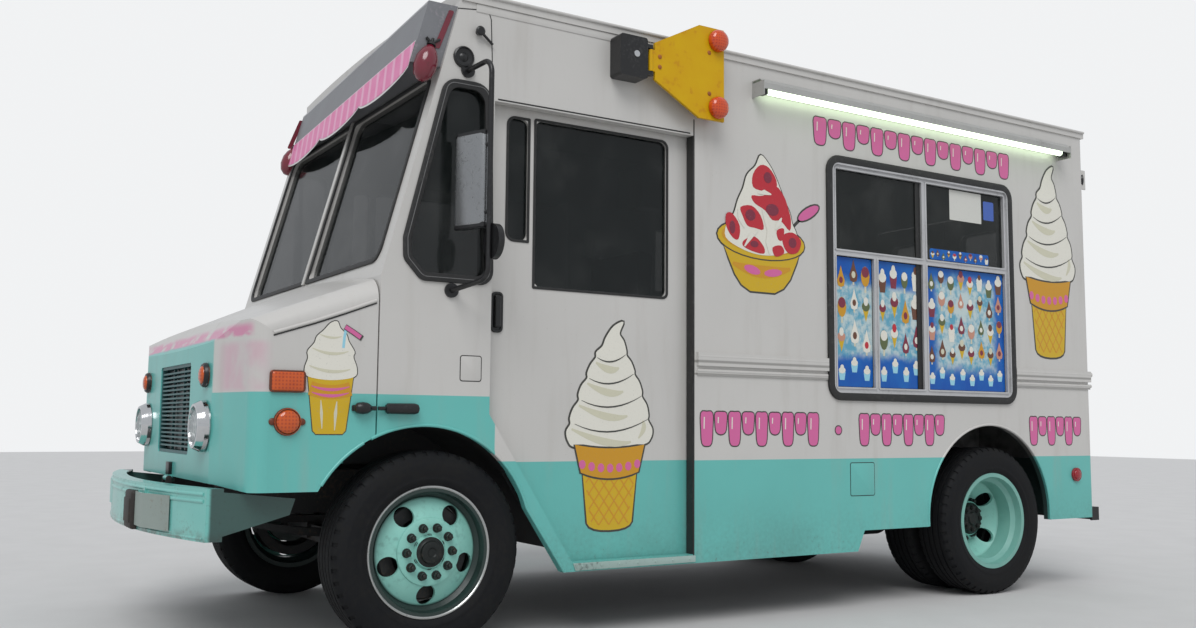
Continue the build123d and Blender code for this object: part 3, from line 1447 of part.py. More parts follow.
with BuildPart() as wheel_housings:
    for sign_x in (-1, 1):
        low_x = min(sign_x * housing_in_x, sign_x * deck_half)
        with BuildSketch(side(low_x)) as hoop:
            with Locations((front_arch_y, front_arch_z)):
                Circle(arch_radius + sheet)
            with BuildLine() as slant:
                Polyline(
                    (front_arch_y, front_arch_z),
                    behind_slant(0, hoop_back + sheet),
                    behind_slant(0.8, hoop_back + sheet),
                    behind_slant(0.8, hoop_back),
                    close=True,
                )
            make_face(slant.edges())
            with Locations((front_arch_y, front_arch_z)):
                Circle(arch_radius, mode=Mode.SUBTRACT)
            with BuildLine() as wheel_space:
                Polyline(
                    (front_arch_y, front_arch_z),
                    behind_slant(0, hoop_back),
                    behind_slant(0.9, hoop_back),
                    (front_arch_y, front_arch_z - 300),
                    close=True,
                )
            make_face(wheel_space.edges(), mode=Mode.SUBTRACT)
            with Locations((front_arch_y, front_arch_z - 300)):
                Rectangle(2 * arch_radius + 40, 600, mode=Mode.SUBTRACT)
            with BuildLine() as foot:
                Polyline(
                    behind_slant(0.5, hoop_back),
                    behind_slant(0.5, hoop_back + sheet),
                    behind_slant(0.8, hoop_back + sheet),
                    behind_slant(0.8, hoop_back),
                    close=True,
                )
            make_face(foot.edges())
            with Locations((cab_front_y - 400 + wall, 500)):
                Rectangle(800, 1400, mode=Mode.SUBTRACT)
        extrude(hoop.sketch, amount=deck_half - housing_in_x)
        # The hoop alone runs on to the cab's side wall.
        rim_x = min(sign_x * deck_half, sign_x * inner)
        with BuildSketch(side(rim_x)) as rim:
            with Locations((front_arch_y, front_arch_z)):
                Circle(arch_radius + sheet)
                Circle(arch_radius, mode=Mode.SUBTRACT)
            with Locations((front_arch_y, front_arch_z - 160)):
                Rectangle(1100, 920, mode=Mode.SUBTRACT)
            with Locations((cab_front_y - 400 + wall, 500)):
                Rectangle(800, 1400, mode=Mode.SUBTRACT)
        extrude(rim.sketch, amount=inner - deck_half)
        cheek_x = min(sign_x * housing_in_x, sign_x * (housing_in_x - sheet))
        with BuildSketch(side(cheek_x)) as cheek:
            with Locations((front_arch_y, front_arch_z)):
                Circle(arch_radius + sheet)
            with Locations((front_arch_y, floor_low_z - 500)):
                Rectangle(1200, 1000, mode=Mode.SUBTRACT)
            with Locations((cab_front_y - 400 + wall, 500)):
                Rectangle(800, 1400, mode=Mode.SUBTRACT)
        extrude(cheek.sketch, amount=sheet)
save(wheel_housings, "wheel_housings")

# Steering wheel on its column.
wheel_ring = 215
wheel_tube = 14
spin_way = (0, column_lean, 1)
with BuildPart() as steering_wheel:
    wheel_plane = Plane(origin=wheel_hub, x_dir=(1, 0, 0), z_dir=spin_way)
    with Locations(wheel_plane.location):
        Torus(wheel_ring, wheel_tube)
        Cylinder(44, 34)
    with BuildSketch(wheel_plane.offset(-6)):
        for turn in (0, 120, 240):
            with Locations(Location((0, 0), turn - 90)):
                with Locations((wheel_ring / 2, 0)):
                    Rectangle(wheel_ring, 26)
    extrude(amount=12)
    post_top = Vector(*wheel_hub)
    post_low = Vector(*column_top) + Vector(*spin_way).normalized() * seat_gap
    rod(tuple(post_low), tuple(post_top), 16)
save(steering_wheel, "steering_wheel")

# Driver's seat on its base.
seat_x = (wheel_hub[0] - 270, wheel_hub[0] + 190)
seat_y = (front_axle_y + 700, front_axle_y + 1170)
seat_low_z = 1090
with BuildPart() as seat_base:
    block((seat_x[0] + 30, well_x - sheet - 4), (seat_y[0] + 90, seat_y[1] - 60), (floor_z, seat_low_z - 30))
    block((seat_x[0] + 30, seat_x[1] - 40), (seat_y[0] + 30, seat_y[1] - 20), (seat_low_z - 34, seat_low_z - seat_gap))
    block((seat_x[0] + 60, seat_x[1] - 60), (seat_y[1] + 70, seat_y[1] + 90), (seat_low_z - 34, seat_low_z + 420))
    block((seat_x[0] + 60, seat_x[1] - 60), (seat_y[1] - 40, seat_y[1] + 90), (seat_low_z - 34, seat_low_z - 14))
save(seat_base, "seat_base")

with BuildPart() as driver_seat:
    block(seat_x, seat_y, (seat_low_z, seat_low_z + 110))
    with BuildSketch(side(seat_x[0])):
        with BuildLine():
            Polyline(
                (seat_y[1] - 70, seat_low_z + 110 + seat_gap),
                (seat_y[1] + 70 - seat_gap, seat_low_z + 20),
                (seat_y[1] + 70 - seat_gap, seat_low_z + 660),
                (seat_y[1] - 10, seat_low_z + 680),
                close=True,
            )
        make_face()
    extrude(amount=seat_x[1] - seat_x[0])
    fillet(driver_seat.edges().filter_by(Axis.X).sort_by(Axis.Z)[-2:], 24)
save(driver_seat, "driver_seat")

# Engine cover between the seats, open towards the bulkhead and below.
cover_rear_y = front_axle_y + 430
cover_half = engine_half + 35
cover_skin = 25
cover_high_z = engine_high_z + 90
with BuildPart() as engine_cover:
    block((-cover_half, cover_half), (cab_front_y, cover_rear_y), (floor_z, cover_high_z))
    fillet(engine_cover.faces().sort_by(Axis.Z)[-1].edges().filter_by(Axis.Y), 60)
    block(
        (-cover_half + cover_skin, cover_half - cover_skin),
        (cab_front_y - 1, cover_rear_y - cover_skin),
        (floor_z - 1, cover_high_z - cover_skin),
        Mode.SUBTRACT,
    )
save(engine_cover, "engine_cover")

# Galley: a counter along each side, over the rear wheel boxes, and wall cabinets
# over the serving windows.
counter_in_x = 470
counter_y = (window_front_y + 24, rear_wall_y - 60)
counter_z = 1050
cabinet_in_x = 740
cabinet_y = (window_front_y + 30, window_rear_y + 300)
cabinet_z = (window_high_z + 53, window_high_z + 333)
with BuildPart() as galley:
    for sign_x in (-1, 1):
        body_x = sorted((sign_x * counter_in_x, sign_x * (inner - 8)))
        top_x = sorted((sign_x * (counter_in_x - 20), sign_x * (inner - 8)))
        room_x = sorted((sign_x * (counter_in_x + 20), sign_x * (inner - 28)))
        block(body_x, counter_y, (floor_z, counter_z - 30))
        block(room_x, (counter_y[0] + 20, counter_y[1] - 20), (floor_z - 1, counter_z - 50), Mode.SUBTRACT)
        block(top_x, counter_y, (counter_z - 30, counter_z))
        house_space = sorted((sign_x * (house_x - sheet - 1), sign_x * inner))
        block(
            house_space,
            (house_front_y - sheet, house_rear_y + sheet),
            (floor_z - 1, house_z + sheet),
            Mode.SUBTRACT,
        )
        cabinet_x = sorted((sign_x * cabinet_in_x, sign_x * inner))
        block(cabinet_x, cabinet_y, cabinet_z)
save(galley, "galley")

# Soft-serve machine behind the right doorway: a tall cabinet with a drip tray.
machine_x = (-half + 150, -half + 650)
machine_y = (window_front_y - 713, window_front_y - 73)
machine_high_z = floor_z + 1440
head_z_range = (machine_high_z - 320, machine_high_z - 160)
tray_z = machine_high_z - 720
with BuildPart() as soft_serve_machine:
    block(machine_x, machine_y, (floor_z, machine_high_z))
    fillet(soft_serve_machine.edges().filter_by(Axis.Z), 20)
    block((machine_x[1] - 1, machine_x[1] + 110), (machine_y[0] + 120, machine_y[1] - 120), head_z_range)
    block((machine_x[1] - 1, machine_x[1] + 150), (machine_y[0] + 90, machine_y[1] - 90), (tray_z, tray_z + 30))
    for tap_y in (machine_y[0] + 200, (machine_y[0] + machine_y[1]) / 2, machine_y[1] - 200):
        rod((machine_x[1] + 70, tap_y, head_z_range[0] - 60), (machine_x[1] + 70, tap_y, head_z_range[0] + 10), 18)
save(soft_serve_machine, "soft_serve_machine")
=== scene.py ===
import math
import random

import bpy
from mathutils import Matrix, Vector


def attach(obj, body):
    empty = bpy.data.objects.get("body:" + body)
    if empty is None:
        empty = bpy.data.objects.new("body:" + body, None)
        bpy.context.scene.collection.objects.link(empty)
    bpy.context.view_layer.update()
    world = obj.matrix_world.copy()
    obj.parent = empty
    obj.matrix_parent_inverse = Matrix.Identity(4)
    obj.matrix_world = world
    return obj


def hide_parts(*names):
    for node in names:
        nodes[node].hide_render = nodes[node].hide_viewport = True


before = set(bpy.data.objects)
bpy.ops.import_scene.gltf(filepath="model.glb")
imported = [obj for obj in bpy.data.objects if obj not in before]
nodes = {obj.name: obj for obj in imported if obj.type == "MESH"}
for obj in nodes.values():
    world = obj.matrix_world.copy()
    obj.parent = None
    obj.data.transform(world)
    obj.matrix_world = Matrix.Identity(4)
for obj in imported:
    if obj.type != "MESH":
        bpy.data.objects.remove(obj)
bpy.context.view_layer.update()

# The place where the truck stands: a camera low beside its left front corner, a
# pale floor and plain soft light from an even sky and a broad sun.
front_axle_y = -1.660
rear_axle_y = 1.718
camera_spot = Vector((5.25126, -3.50452, 0.91979))
yaw, pitch, roll = (math.radians(angle) for angle in (31.787, 5.574, 0.500))
ahead = Vector((-math.cos(yaw) * math.cos(pitch), math.sin(yaw) * math.cos(pitch), math.sin(pitch)))
level = ahead.cross(Vector((0, 0, 1))).normalized()
upward = level.cross(ahead)
right = math.cos(roll) * level + math.sin(roll) * upward
upward = math.cos(roll) * upward - math.sin(roll) * level
camera_data = bpy.data.cameras.new("street_camera")
camera_data.sensor_width = 36
camera_data.lens = 33.858
camera_data.clip_end = 200
camera = bpy.data.objects.new("street_camera", camera_data)
bpy.context.scene.collection.objects.link(camera)
facing = Matrix((right, upward, -ahead)).transposed().to_quaternion()
camera.matrix_world = Matrix.LocRotScale(camera_spot, facing, None)
bpy.context.scene.camera = camera
bpy.context.scene.view_settings.view_transform = "Standard"


def idle():
    """Leave edit mode with nothing selected."""
    if bpy.context.mode != "OBJECT":
        bpy.ops.object.mode_set(mode="OBJECT")
    bpy.ops.object.select_all(action="DESELECT")


class Link:
    """A shader socket. Sums and products of it add Math nodes."""

    def __init__(self, finish, socket):
        self.finish = finish
        self.socket = socket

    def math(self, operation, first, second=0.0):
        return self.finish.node("Math", {"operation": operation}, {0: first, 1: second})

    def __add__(self, other):
        return self.math("ADD", self, other)

    __radd__ = __add__

    def __mul__(self, other):
        return self.math("MULTIPLY", self, other)

    __rmul__ = __mul__

    def __sub__(self, other):
        return self.math("SUBTRACT", self, other)

    def __rsub__(self, other):
        return self.math("SUBTRACT", other, self)

    def __lt__(self, other):
        return self.math("LESS_THAN", self, other)


class Finish:
    """A material and the one method that adds its nodes."""

    def __init__(self, name):
        self.material = bpy.data.materials.new(name)
        self.material.use_nodes = True
        self.tree = self.material.node_tree
        self.tree.nodes.clear()
        self.place = self.node("TexCoord", out="Object")
        spot = {"Vector": self.place}
        self.x, self.y, self.z = (self.node("SeparateXYZ", {}, spot, out) for out in "XYZ")

    def node(self, kind, settings=None, sockets=None, out=0):
        made = self.tree.nodes.new("ShaderNode" + kind)
        for key, value in (settings or {}).items():
            setattr(made, key, value)
        for key, value in (sockets or {}).items():
            if isinstance(value, Link):
                self.tree.links.new(value.socket, made.inputs[key])
            else:
                made.inputs[key].default_value = value
        return Link(self, made.outputs[out])

    def noise(self, scale, detail=3.0, stretch=(1, 1, 1), rough=0.55):
        """Cloudy pattern from 0 to 1, scale in spots per metre."""
        spot = self.node("Mapping", {}, {"Vector": self.place, "Scale": stretch})
        settings = {"Vector": spot, "Scale": scale, "Detail": detail, "Roughness": rough}
        return self.node("TexNoise", {}, settings)

    def step(self, value, low, high):
        """Rises smoothly from 0 to 1 between two values."""
        return self.node(
            "MapRange",
            {"interpolation_type": "SMOOTHSTEP"},
            {"Value": value, "From Min": low, "From Max": high},
        )

    def wave(self, value, per_metre):
        """Rises and falls between 0 and 1."""
        return self.node("Math", {"operation": "SINE"}, {0: value * (per_metre * math.tau)}) * 0.5 + 0.5

    def larger(self, first, second):
        return self.node("Math", {"operation": "MAXIMUM"}, {0: first, 1: second})

    def size_of(self, value):
        return self.node("Math", {"operation": "ABSOLUTE"}, {0: value})

    def tint(self, share, first, second):
        """Colour that goes from the first to the second as share goes from 0 to 1."""
        first = first if isinstance(first, Link) else (*first, 1)
        second = second if isinstance(second, Link) else (*second, 1)
        return self.node("Mix", {"data_type": "RGBA"}, {0: share, 6: first, 7: second}, 2)

    def bump(self, height, distance, strength=1.0):
        return self.node("Bump", {}, {"Height": height, "Distance": distance, "Strength": strength})

    def surface(self, colour, roughness, metallic=0.0, normal=None, **more):
        """Close the material with a Principled shader."""
        sockets = {"Base Color": colour if isinstance(colour, Link) else (*colour, 1)}
        sockets.update({"Roughness": roughness, "Metallic": metallic})
        if normal:
            sockets["Normal"] = normal
        for key, value in more.items():
            sockets[key.replace("_", " ").title().replace("Ior", "IOR")] = value
        shader = self.node("BsdfPrincipled", {}, sockets)
        output = self.tree.nodes.new("ShaderNodeOutputMaterial")
        self.tree.links.new(shader.socket, output.inputs["Surface"])
        return self.material


ground = Finish("pale_floor")
ground_cloud = ground.noise(3, 5)
ground_plain = ground.surface(ground.tint(ground_cloud, (0.56, 0.555, 0.55), (0.64, 0.635, 0.63)), 0.85)
idle()
bpy.ops.mesh.primitive_plane_add(size=60, location=(0, 0, 0))
floor_slab = bpy.context.object
floor_slab.name = "studio_floor"
floor_slab.data.materials.append(ground_plain)

sky = bpy.data.worlds.new("even_sky")
bpy.context.scene.world = sky
sky.use_nodes = True
sky_nodes = sky.node_tree.nodes
sky_links = sky.node_tree.links
sky_nodes.clear()
rays = sky_nodes.new("ShaderNodeLightPath")
seen = sky_nodes.new("ShaderNodeMath")
seen.operation = "MAXIMUM"
sky_links.new(rays.outputs["Is Camera Ray"], seen.inputs[0])
sky_links.new(rays.outputs["Is Transmission Ray"], seen.inputs[1])


def sky_light(colour, strength):
    """One even colour of the sky."""
    shader = sky_nodes.new("ShaderNodeBackground")
    shader.inputs["Color"].default_value = (*colour, 1)
    shader.inputs["Strength"].default_value = strength
    return shader.outputs[0]


daylight = sky_light((0.93, 0.96, 1.0), 0.62)
backdrop = sky_light((0.88, 0.89, 0.90), 1.0)
chosen = sky_nodes.new("ShaderNodeMixShader")
sky_links.new(seen.outputs[0], chosen.inputs[0])
sky_links.new(daylight, chosen.inputs[1])
sky_links.new(backdrop, chosen.inputs[2])
sky_out = sky_nodes.new("ShaderNodeOutputWorld")
sky_links.new(chosen.outputs[0], sky_out.inputs["Surface"])

sun_data = bpy.data.lights.new("broad_sun", "SUN")
sun_data.energy = 1.5
sun_data.angle = math.radians(35)
sun = bpy.data.objects.new("broad_sun", sun_data)
bpy.context.scene.collection.objects.link(sun)
sun.rotation_euler = (math.radians(38), math.radians(16), math.radians(35))

# Sheet metal of the cab, body and nose: white coach paint above and turquoise
# below, sprayed by hand and years old, with road dirt, streaks, chips and rust.
white_paint = (0.60, 0.585, 0.56)
turquoise_paint = (0.132, 0.50, 0.458)
airbrush_pink = (0.62, 0.20, 0.36)
nose_front_y = front_axle_y - 0.803
belt_z = 1.028  # where white meets turquoise on the nose and the cowl
cab_band_z = 0.761
side_band_z = 0.756


def dress(material, *names):
    """Give CAD nodes a material."""
    for name in names:
        slots = nodes[name].data.materials
        slots.clear()
        slots.append(material)


def coach_paint(name, white_share, pink_share=None, shadow_lines=(), back_shade_share=None):
    """Two-colour paint. white_share and pink_share make the masks of those colours.

    shadow_lines are painted shadow lines under the waist rails, and back_shade_share makes the mask of a
    skin's back below the load floor, darkened as painted shade.
    """
    paint = Finish(name)
    cloud = paint.noise(1.6, 4)
    streaks = paint.noise(3, 5, (4, 4, 0.5))
    grit = paint.noise(55, 4)
    fine = paint.noise(240, 2)
    white = paint.tint(cloud, white_paint, [c * 0.88 for c in white_paint])
    turquoise = paint.tint(cloud, [c * 1.06 for c in turquoise_paint], [c * 0.84 for c in turquoise_paint])
    colour = paint.tint(white_share(paint), turquoise, white)
    if pink_share:
        colour = paint.tint(pink_share(paint), colour, airbrush_pink)
    streak = paint.step(streaks, 0.50, 0.80) * 0.22
    colour = paint.tint(streak, colour, (0.36, 0.33, 0.29))
    low = paint.step(paint.z, 0.66, 0.28) * paint.step(grit * 0.5 + cloud * 0.8, 0.45, 0.95)
    colour = paint.tint(low * 0.30, colour, (0.085, 0.085, 0.072))
    # Painted shade: the skin's back below the load floor, seen through the arches, goes nearly black.
    if back_shade_share:
        back = back_shade_share(paint) * paint.step(paint.z, 0.96, 0.94) * 0.93
        colour = paint.tint(back, colour, (0.020, 0.021, 0.020))
    # Painted shadow lines: dark bands along given heights under the waist rails.
    for shadow_z, shadow_tall in shadow_lines:
        line = paint.step(paint.size_of(paint.z - shadow_z), shadow_tall, shadow_tall * 0.35)
        colour = paint.tint(line * 0.55, colour, (0.085, 0.08, 0.07))
    rust = paint.step(grit * 0.55 + fine * 0.45, 0.62, 0.66) * paint.step(paint.z, 0.46, 0.29)
    colour = paint.tint(rust * 0.8, colour, (0.11, 0.045, 0.02))
    specks = paint.step(fine * 0.5 + grit * 0.5, 0.66, 0.69) * 0.4
    colour = paint.tint(specks, colour, (0.19, 0.17, 0.14))
    roughness = 0.30 + streak * 0.35 + low * 0.40 + cloud * 0.10
    dents = paint.noise(2.3, 1)
    ripple = paint.noise(5, 2, (1, 1, 0.4))
    height = dents * 0.8 + ripple * 0.15 + fine * 0.006
    relief = paint.bump(height, 0.006, 0.8)
    return paint.surface(colour, roughness, normal=relief, coat_weight=0.25, coat_roughness=0.12)


def above(paint, height):
    """Mask of what lies over a height."""
    return paint.step(paint.z, height - 0.0015, height + 0.0015)


def nose_white(paint):
    """White over the belt on the nose's cheeks, sides and hood, but not on its flat front face."""
    waver = paint.noise(30, 2) * 0.008
    off_face = paint.step(paint.size_of(paint.x) + waver, 0.680, 0.698)
    behind_face = paint.step(paint.y + waver, nose_front_y + 0.060, nose_front_y + 0.070)
    over_brow = paint.step(paint.z + waver, 1.243, 1.252)
    return paint.larger(paint.larger(off_face, behind_face) * above(paint, belt_z), over_brow)


def nose_pink(paint):
    """Sprayed pink: a thin broken band along the brow and a soft mist on the cheeks."""
    cloud = paint.noise(9, 4, (1, 1, 2.5))
    band = paint.step(paint.z, 1.232, 1.246) * paint.step(paint.z, 1.300, 1.268)
    band = band * paint.step(paint.y, nose_front_y + 0.080, nose_front_y + 0.055)
    band = band * paint.step(cloud, 0.34, 0.52)
    wide = paint.size_of(paint.x)
    cheek = paint.step(wide, 0.70, 0.84) * paint.step(paint.y, nose_front_y + 0.150, nose_front_y + 0.070)
    cheek = cheek * paint.step(paint.z, 1.02, 1.05) * paint.step(paint.z, 1.232, 1.20)
    mist = cheek * paint.step(paint.noise(5, 3), 0.30, 0.62) * 0.42
    return paint.larger(band * 0.9, mist)


def cab_white(paint):
    """White from the belt up ahead of the door, and from the sill line behind it."""
    ahead_of_door = paint.y < front_axle_y + 0.262
    return ahead_of_door * above(paint, belt_z) + (1 - ahead_of_door) * above(paint, cab_band_z)


def body_white(paint):
    return above(paint, side_band_z)


def side_back_shade(paint):
    """Mask of the inner face of a body side and the edge of its wheel arch, darkened there as painted shade.
    """
    return paint.step(paint.size_of(paint.x), 1.036, 1.028)


def rear_back_shade(paint):
    """Mask of the inner face of the rear wall, darkened there as painted shade."""
    return paint.step(paint.y, 2.560, 2.552)


cab_paint = coach_paint("cab_coach_paint", cab_white)
nose_paint = coach_paint("nose_coach_paint", nose_white, nose_pink)
# Heights and half widths of the painted shadow lines under the two waist rails.
rail_shadow_lines = ((1.214, 0.009), (1.155, 0.007))
side_paint = coach_paint("side_coach_paint", body_white, shadow_lines=rail_shadow_lines, back_shade_share=side_back_shade)
rear_paint = coach_paint("rear_coach_paint", body_white, back_shade_share=rear_back_shade)
door_paint = coach_paint("door_coach_paint", body_white)
dress(nose_paint, "nose")
dress(cab_paint, "cab_front", "left_cab_side", "right_cab_side")
dress(side_paint, "left_side", "right_side")
dress(rear_paint, "rear_frame")
dress(door_paint, "left_door", "right_door", "roof", "left_rear_door", "right_rear_door")

# Chassis, axles, springs and tank: brushed black enamel with road dirt and rust.
# The engine is bare cast iron.


def plain_paint(name, colour, roughness, wear=(0.16, 0.14, 0.12), metallic=0.0, worn=0.3, **more):
    """One-colour enamel or bare metal with grime and worn specks."""
    paint = Finish(name)
    cloud = paint.noise(5, 4)
    grit = paint.noise(70, 5)
    tone = paint.tint(cloud, colour, [c * 0.72 for c in colour])
    dirty = paint.step(grit * 0.6 + cloud * 0.4, 0.52, 0.68) * worn
    relief = paint.bump(paint.noise(300, 2) * 0.3 + grit, 0.0008, 0.4)
    return paint.surface(paint.tint(dirty, tone, wear), roughness + dirty * 0.3, metallic, relief, **more)


chassis_enamel = plain_paint("chassis_enamel", (0.018, 0.018, 0.019), 0.55, (0.09, 0.06, 0.04), worn=0.6)
dress(chassis_enamel, "ladder_frame", "leaf_springs", "front_axle", "rear_axle", "driveline", "fuel_tank")
dress(chassis_enamel, "wheel_housings", "left_knuckle", "right_knuckle", "rear_bumper", "seat_base")
dress(plain_paint("cast_iron", (0.07, 0.07, 0.068), 0.6, (0.10, 0.05, 0.02), worn=0.8), "engine")

# Tyres: heavy radial road tyres with four grooves, notched shoulders and raised
# rings on the walls. The rear pairs are one piece a side.


def take(piece):
    """Select one piece alone and make it active."""
    idle()
    piece.select_set(True)
    bpy.context.view_layer.objects.active = piece
    return piece


def new_piece(points, edges, faces):
    """Mesh from points in metres, selected."""
    mesh = bpy.data.meshes.new("blank")
    mesh.from_pydata([tuple(point) for point in points], edges, faces)
    piece = bpy.data.objects.new("blank", mesh)
    bpy.context.scene.collection.objects.link(piece)
    return take(piece)


def turned(profile, centre, axis=(1, 0, 0), steps=48, closed=False, smooth=35):
    """Spin a half section of (along, radius) pairs about an axis through the centre."""
    axis = Vector(axis).normalized()
    centre = Vector(centre)
    out = axis.orthogonal().normalized()
    count = len(profile)
    edges = [(i, i + 1) for i in range(count - 1)] + ([(count - 1, 0)] if closed else [])
    piece = new_piece([centre + axis * along + out * radius for along, radius in profile], edges, [])
    bpy.ops.object.mode_set(mode="EDIT")
    bpy.ops.mesh.select_all(action="SELECT")
    bpy.ops.mesh.spin(steps=steps, angle=math.tau, center=centre, axis=axis)
    bpy.ops.mesh.select_all(action="SELECT")
    bpy.ops.mesh.remove_doubles(threshold=0.00002)
    bpy.ops.mesh.normals_make_consistent(inside=False)
    bpy.ops.object.mode_set(mode="OBJECT")
    bpy.ops.object.shade_smooth_by_angle(angle=math.radians(smooth))
    return piece


def joined(pieces):
    """Join pieces into the first."""
    idle()
    for piece in pieces:
        piece.select_set(True)
    bpy.context.view_layer.objects.active = pieces[0]
    bpy.ops.object.join()
    return bpy.context.object


def fasten(piece, name, body, slot, *materials):
    """Settle a piece's place in its mesh, give it its name and finish, and fix it to a body."""
    take(piece)
    bpy.ops.object.transform_apply(location=True, rotation=True, scale=True)
    piece.name = name
    piece.data.name = name
    if materials:
        piece.data.materials.clear()
        for material in materials:
            piece.data.materials.append(material)
    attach(piece, body)
    return piece


def moved_copy(piece, change):
    """Copy of a piece with its own mesh, moved by a matrix. A mirror turns its faces back out."""
    twin = piece.copy()
    twin.data = piece.data.copy()
    bpy.context.scene.collection.objects.link(twin)
    twin.data.transform(change)
    if change.determinant() < 0:
        twin.data.flip_normals()
    return twin


across = Matrix.Scale(-1, 4, (1, 0, 0))
sides = (("left", 1), ("right", -1))


def other_side(piece, name, body, slot):
    """Mirror image of a fastened piece."""
    return fasten(moved_copy(piece, across), name, body, slot)


def both_sides(piece, name, body, slot, *materials):
    """Fasten a piece on the left side and its mirror image on the right."""
    fasten(piece, "left_" + name, body, slot, *materials)
    other_side(piece, "right_" + name, body.replace("left", "right"), slot)


axle_z = 0.403
front_wheel_x = 0.915
rear_outer_x = 0.925
rear_inner_x = 0.670
wall_profile = [
    (0.086, 0.248), (0.094, 0.262), (0.103, 0.271), (0.1075, 0.284), (0.1100, 0.290), (0.1098, 0.294),
    (0.1090, 0.298), (0.1112, 0.310), (0.1125, 0.325), (0.1120, 0.342), (0.1112, 0.346), (0.1114, 0.350),
    (0.1090, 0.356), (0.1045, 0.371), (0.0985, 0.384), (0.0925, 0.392), (0.0865, 0.398), (0.0780, 0.4012),
    (0.0665, 0.4022), (0.0600, 0.4026),
]
groove_profile = [
    (0.0585, 0.3935), (0.0515, 0.3935), (0.0500, 0.4029), (0.0215, 0.4030), (0.0200, 0.3935),
    (0.0130, 0.3935), (0.0115, 0.4030),
]
half_profile = wall_profile + groove_profile
tyre_profile = half_profile + [(-along, radius) for along, radius in reversed(half_profile)]
tyre_steps = 150
notch_reach = (0.078, 0.098)
notch_radius = 0.385
notch_depth = 0.005


def road_tyre(centre):
    """Tyre with its shoulders notched every third step."""
    piece = turned(tyre_profile, centre, steps=tyre_steps, closed=True)
    mesh = piece.data
    for face in mesh.polygons:
        spot = face.center - Vector(centre)
        turn = round((math.atan2(spot.z, spot.y) / math.tau % 1) * tyre_steps - 0.5)
        in_band = notch_reach[0] < abs(spot.x) < notch_reach[1]
        face.select = in_band and math.hypot(spot.y, spot.z) > notch_radius and turn % 3 == 0
    for vertex in mesh.vertices:
        vertex.select = False
    for edge in mesh.edges:
        edge.select = False
    bpy.ops.object.mode_set(mode="EDIT")
    bpy.ops.mesh.select_mode(type="FACE")
    bpy.ops.mesh.extrude_region_shrink_fatten(TRANSFORM_OT_shrink_fatten={"value": -notch_depth})
    bpy.ops.object.mode_set(mode="OBJECT")
    bpy.ops.object.shade_smooth_by_angle(angle=math.radians(35))
    return piece


rubber = Finish("tyre_rubber")
rubber_dust = rubber.step(rubber.noise(60, 4) * 0.6 + rubber.noise(6, 3) * 0.4, 0.42, 0.66)
rubber_colour = rubber.tint(rubber_dust, (0.0055, 0.0060, 0.0075), (0.013, 0.013, 0.013))
rubber_grain = rubber.noise(420, 2)
rubber_relief = rubber.bump(rubber_grain, 0.0006, 0.5)
tyre_rubber = rubber.surface(
    rubber_colour, 0.66 + rubber_dust * 0.22, normal=rubber_relief, specular_ior_level=0.22
)
for side_name, side in sides:
    front_tyre = road_tyre((side * front_wheel_x, front_axle_y, axle_z))
    fasten(front_tyre, f"{side_name}_front_road_tyre", f"{side_name}_front_wheel", "tyre", tyre_rubber)
    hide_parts(f"{side_name}_front_tyre")
    pair = joined([road_tyre((side * x, rear_axle_y, axle_z)) for x in (rear_outer_x, rear_inner_x)])
    fasten(pair, f"{side_name}_rear_road_tyres", f"{side_name}_rear_wheels", "tyre", tyre_rubber)
    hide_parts(f"{side_name}_rear_tyres")

# Road wheels: pressed steel discs in turquoise enamel with brake dust, painted shade and dirt in the rim
# gutter and painted shade inboard, ten nuts each, a bright worn flange edge on the front pair and iron hubs.


def wheel_paint(name, axle_y, inside, outside, gutter_dirt_and_shade):
    """Wheel enamel with brake dust, black inboard as painted shade and dark in the gutter beside the rim as
    painted shade and dirt.
    """
    coat = Finish(name)
    dust = coat.step(coat.noise(38, 5) * 0.6 + coat.noise(9, 3) * 0.4, 0.50, 0.74) * 0.35
    tone = coat.tint(coat.noise(8, 3), (0.31, 0.64, 0.55), (0.19, 0.50, 0.44))
    spoke = coat.node("CombineXYZ", {}, {"Y": coat.y - axle_y, "Z": coat.z - axle_z})
    radius = coat.node("VectorMath", {"operation": "LENGTH"}, {0: spoke}, "Value")
    # Painted shade and dirt: the gutter between disc and rim goes dark.
    gutter = coat.step(radius, 0.205, 0.220) * coat.step(radius, 0.266, 0.262) * gutter_dirt_and_shade
    # Painted shade: the inboard side of each wheel goes nearly black.
    inboard_shade = coat.step(coat.size_of(coat.x), outside, inside) * 0.97
    colour = coat.tint(coat.larger(coat.larger(dust, gutter), inboard_shade), tone, (0.010, 0.014, 0.013))
    return coat.surface(colour, 0.36 + dust * 0.35, normal=coat.bump(coat.noise(160, 3), 0.0006, 0.4))


wheel_enamel = wheel_paint("front_wheel_enamel", front_axle_y, inside=0.920, outside=0.955, gutter_dirt_and_shade=0.96)
dress(wheel_enamel, "left_front_wheel", "right_front_wheel")
dish_enamel = wheel_paint("rear_wheel_enamel", rear_axle_y, inside=0.770, outside=0.795, gutter_dirt_and_shade=0.30)
dress(dish_enamel, "left_rear_wheels", "right_rear_wheels")
bright_edge = plain_paint("bright_edge", (0.55, 0.56, 0.55), 0.30, (0.16, 0.14, 0.12), 0.9, worn=0.5)
nut_steel = plain_paint("nut_steel", (0.030, 0.038, 0.035), 0.42, (0.10, 0.06, 0.04), 0.5, worn=0.6)
hub_iron = plain_paint("hub_iron", (0.020, 0.024, 0.023), 0.42, (0.075, 0.062, 0.050), 0.5, worn=0.6)


